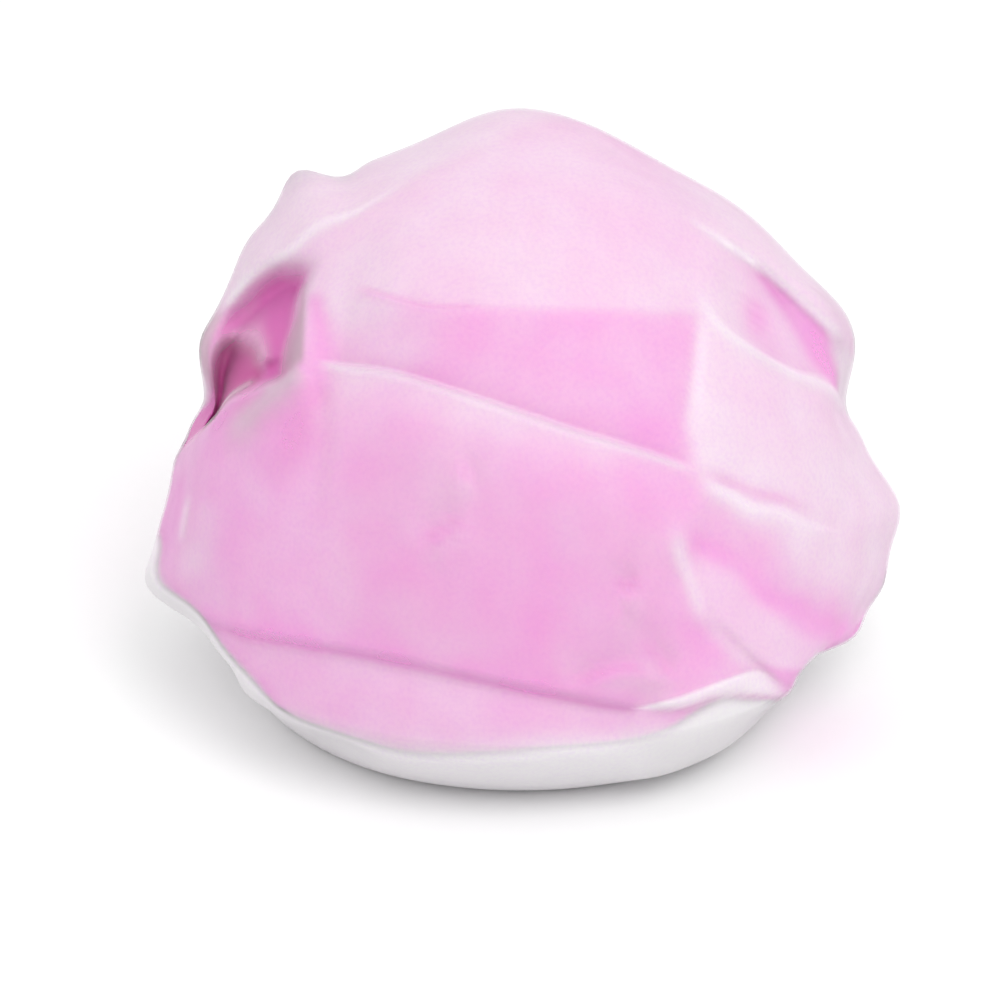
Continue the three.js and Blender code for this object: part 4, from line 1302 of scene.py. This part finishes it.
tree, shader = material("pink_cloth", "pink_cloth", lining)
place = node(tree, "ShaderNodeUVMap", uv_map="cut").outputs["UV"]
threads = [wave_at(tree, place, direction, THREAD_PITCH, 0.4) for direction in ("X", "Y")]
fleck = ranged(tree, noise_at(tree, place, FLECK_SIZE, 3.0), 0.0, 0.4, 0.45, 0.75)
cloud = noise_at(tree, place, CLOUD_SIZE, 3.0)
dye = mixed(tree, ranged(tree, cloud, 0.0, 1.0), PINK, OTHER_PINK)
flecked = mixed(tree, fleck, dye, LILAC_FLECK)
# Painted shade: the pink turns to a darker pink by this attribute.
cloth_shade_share = node(tree, "ShaderNodeAttribute", attribute_name="cloth_shade").outputs["Fac"]
tree.links.new(mixed(tree, cloth_shade_share, flecked, SHADED_PINK), shader.inputs["Base Color"])
tree.links.new(ranged(tree, cloud, 0.75, 0.92), shader.inputs["Roughness"])
shader.inputs["Sheen Weight"].default_value = 0.25
shader.inputs["Sheen Roughness"].default_value = 0.5
bumped(tree, shader, summed(tree, *threads), WEAVE_HEIGHT, WEAVE_STRENGTH)
print("lining finish has", len(tree.nodes), "nodes")

# %% [markdown]
# ## The elastic's and the thread's finish
# The elastic is covered in white yarn, which shows as a fine fuzz on its ribs. The thread is twisted,
# so slanted bands run round it. Both are small and partly hidden, so their patterns stay simple.

# %% White elastic
YARN, SOILED_YARN = (0.93, 0.915, 0.90), (0.87, 0.85, 0.84)
FUZZ_SIZE, SOIL_SIZE = 0.0005, 0.012
FUZZ_HEIGHT, FUZZ_STRENGTH = 0.0003, 0.5
tree, shader = material("white_elastic", "white_elastic", elastic)
place = node(tree, "ShaderNodeTexCoord").outputs["Object"]
fuzz = noise_at(tree, place, FUZZ_SIZE, 3.0)
soil = noise_at(tree, place, SOIL_SIZE)
tree.links.new(mixed(tree, soil, YARN, SOILED_YARN), shader.inputs["Base Color"])
tree.links.new(ranged(tree, fuzz, 0.65, 0.9), shader.inputs["Roughness"])
shader.inputs["Sheen Weight"].default_value = 0.2
bumped(tree, shader, fuzz, FUZZ_HEIGHT, FUZZ_STRENGTH)
print("elastic finish has", len(tree.nodes), "nodes")

# %% White thread
TWIST_SHADE, TWIST_LIGHT = (0.86, 0.83, 0.85), (0.95, 0.93, 0.94)
TWIST_PITCH = 0.0005
TWIST_HEIGHT, TWIST_STRENGTH = 0.0001, 0.5
tree, shader = material("white_thread", "white_thread", seam, tack)
place = node(tree, "ShaderNodeTexCoord").outputs["Object"]
twist = wave_at(tree, place, "DIAGONAL", TWIST_PITCH, 0.6)
tree.links.new(mixed(tree, twist, TWIST_SHADE, TWIST_LIGHT), shader.inputs["Base Color"])
tree.links.new(ranged(tree, twist, 0.5, 0.75, 0.0, 1.0), shader.inputs["Roughness"])
bumped(tree, shader, twist, TWIST_HEIGHT, TWIST_STRENGTH)
print("thread finish has", len(tree.nodes), "nodes")

# %% [markdown]
# ## What each piece stands for
# Each finished piece takes the place of one plain solid. Nothing on a cap turns or slides against
# anything else, so all of them ride on the one body.

# %% Pieces and frame
STANDS_FOR = {
    film: "outer_film",
    lining: "lining",
    elastic: "elastic_band",
    tack: "elastic_bartack",
    seam: "hem_stitching",
}
for piece, replaced in STANDS_FOR.items():
    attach(piece, "root")
    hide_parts(replaced)
print(len(STANDS_FOR), "pieces stand for the solids")

# %% [markdown]
# ## Floor and light
# The cap stands on a white floor under an even white sky, with one large soft lamp above the nape, to
# its right, that gives the folds their shade. More lamps would flatten the folds. The floor is white to
# the camera and in reflections, and a pale grey to the light that it throws back at the cap, so that
# the underside keeps its shade.

# %% Floor
FLOOR_RADIUS, FLOOR_CORNERS = 6.0, 64
FLOOR_UNSEEN, FLOOR_SEEN = (0.80, 0.80, 0.80), (1.0, 1.0, 1.0)


def seen_rays(tree):
    """One for the rays that show the background: straight to the camera, in gloss or through film."""
    path = node(tree, "ShaderNodeLightPath").outputs
    return summed(tree, path["Is Camera Ray"], path["Is Glossy Ray"], path["Is Transmission Ray"])


bpy.ops.mesh.primitive_circle_add(vertices=FLOOR_CORNERS, radius=FLOOR_RADIUS, fill_type="NGON")
floor = bpy.context.object
floor.name = "floor"
floor_material = bpy.data.materials.new("floor_white")
floor_material.use_nodes = True
floor.data.materials.append(floor_material)
tree = floor_material.node_tree
shader = tree.nodes["Principled BSDF"]
shader.inputs["Roughness"].default_value = 0.9
shader.inputs["Specular IOR Level"].default_value = 0.0
tree.links.new(mixed(tree, seen_rays(tree), FLOOR_UNSEEN, FLOOR_SEEN), shader.inputs["Base Color"])
print("floor", FLOOR_RADIUS, "m round the cap")

# %% Sky
SKY_UNSEEN, SKY_SEEN = 0.98, 1.0
world = bpy.data.worlds.new("studio")
bpy.context.scene.world = world
world.use_nodes = True
tree = world.node_tree
back = tree.nodes["Background"]
back.inputs["Color"].default_value = (1.0, 1.0, 1.0, 1.0)
level = ranged(tree, seen_rays(tree), SKY_UNSEEN, SKY_SEEN, 0.0, 1.0)
tree.links.new(level, back.inputs["Strength"])
print("the sky lights the cap at", SKY_UNSEEN)

# %% Lamp
LAMP_PLACE = (0.6, -1.35, 1.7)
LAMP_AIM = Vector((0, 0, 0.1))
LAMP_SIZE, LAMP_POWER = 1.2, 13.0
bpy.ops.object.light_add(type="AREA", location=LAMP_PLACE)
lamp = bpy.context.object
lamp.name = "key_lamp"
lamp.data.shape = "DISK"
lamp.data.size = LAMP_SIZE
lamp.data.energy = LAMP_POWER
lamp.rotation_euler = (LAMP_AIM - lamp.location).to_track_quat("-Z", "Y").to_euler()
print("one soft lamp,", LAMP_SIZE, "m across, beside the sky")

# %% [markdown]
# ## Camera
# The cap is seen from behind and from above, on the same plane that its folds were drawn on. A long
# lens far away keeps that plane nearly flat, and the aim is set a little above the girth and to the
# left of the axis.

# %% Camera
MM_PER_PIXEL = 0.382
PICTURE = 1000
DISTANCE = 2.5
SENSOR = 36.0
AIM_LEFT, AIM_UP = 0.0076, 0.0287
right = Vector((1.0, 0.0, 0.0))
upward = Vector((0.0, TILT_SIN, TILT_COS))
to_viewer = Vector((0.0, -TILT_COS, TILT_SIN))
aim = AXIS + Vector((0, 0, GIRTH_HEIGHT * MM)) - right * AIM_LEFT + upward * AIM_UP
bpy.ops.object.camera_add(location=aim + to_viewer * DISTANCE)
camera = bpy.context.object
camera.rotation_euler = (-to_viewer).to_track_quat("-Z", "Y").to_euler()
camera.data.sensor_width = SENSOR
camera.data.lens = SENSOR * DISTANCE / (MM_PER_PIXEL * MM * PICTURE)
bpy.context.scene.camera = camera
bpy.context.scene.view_settings.view_transform = "Standard"
print("lens", round(camera.data.lens, 1), "mm")
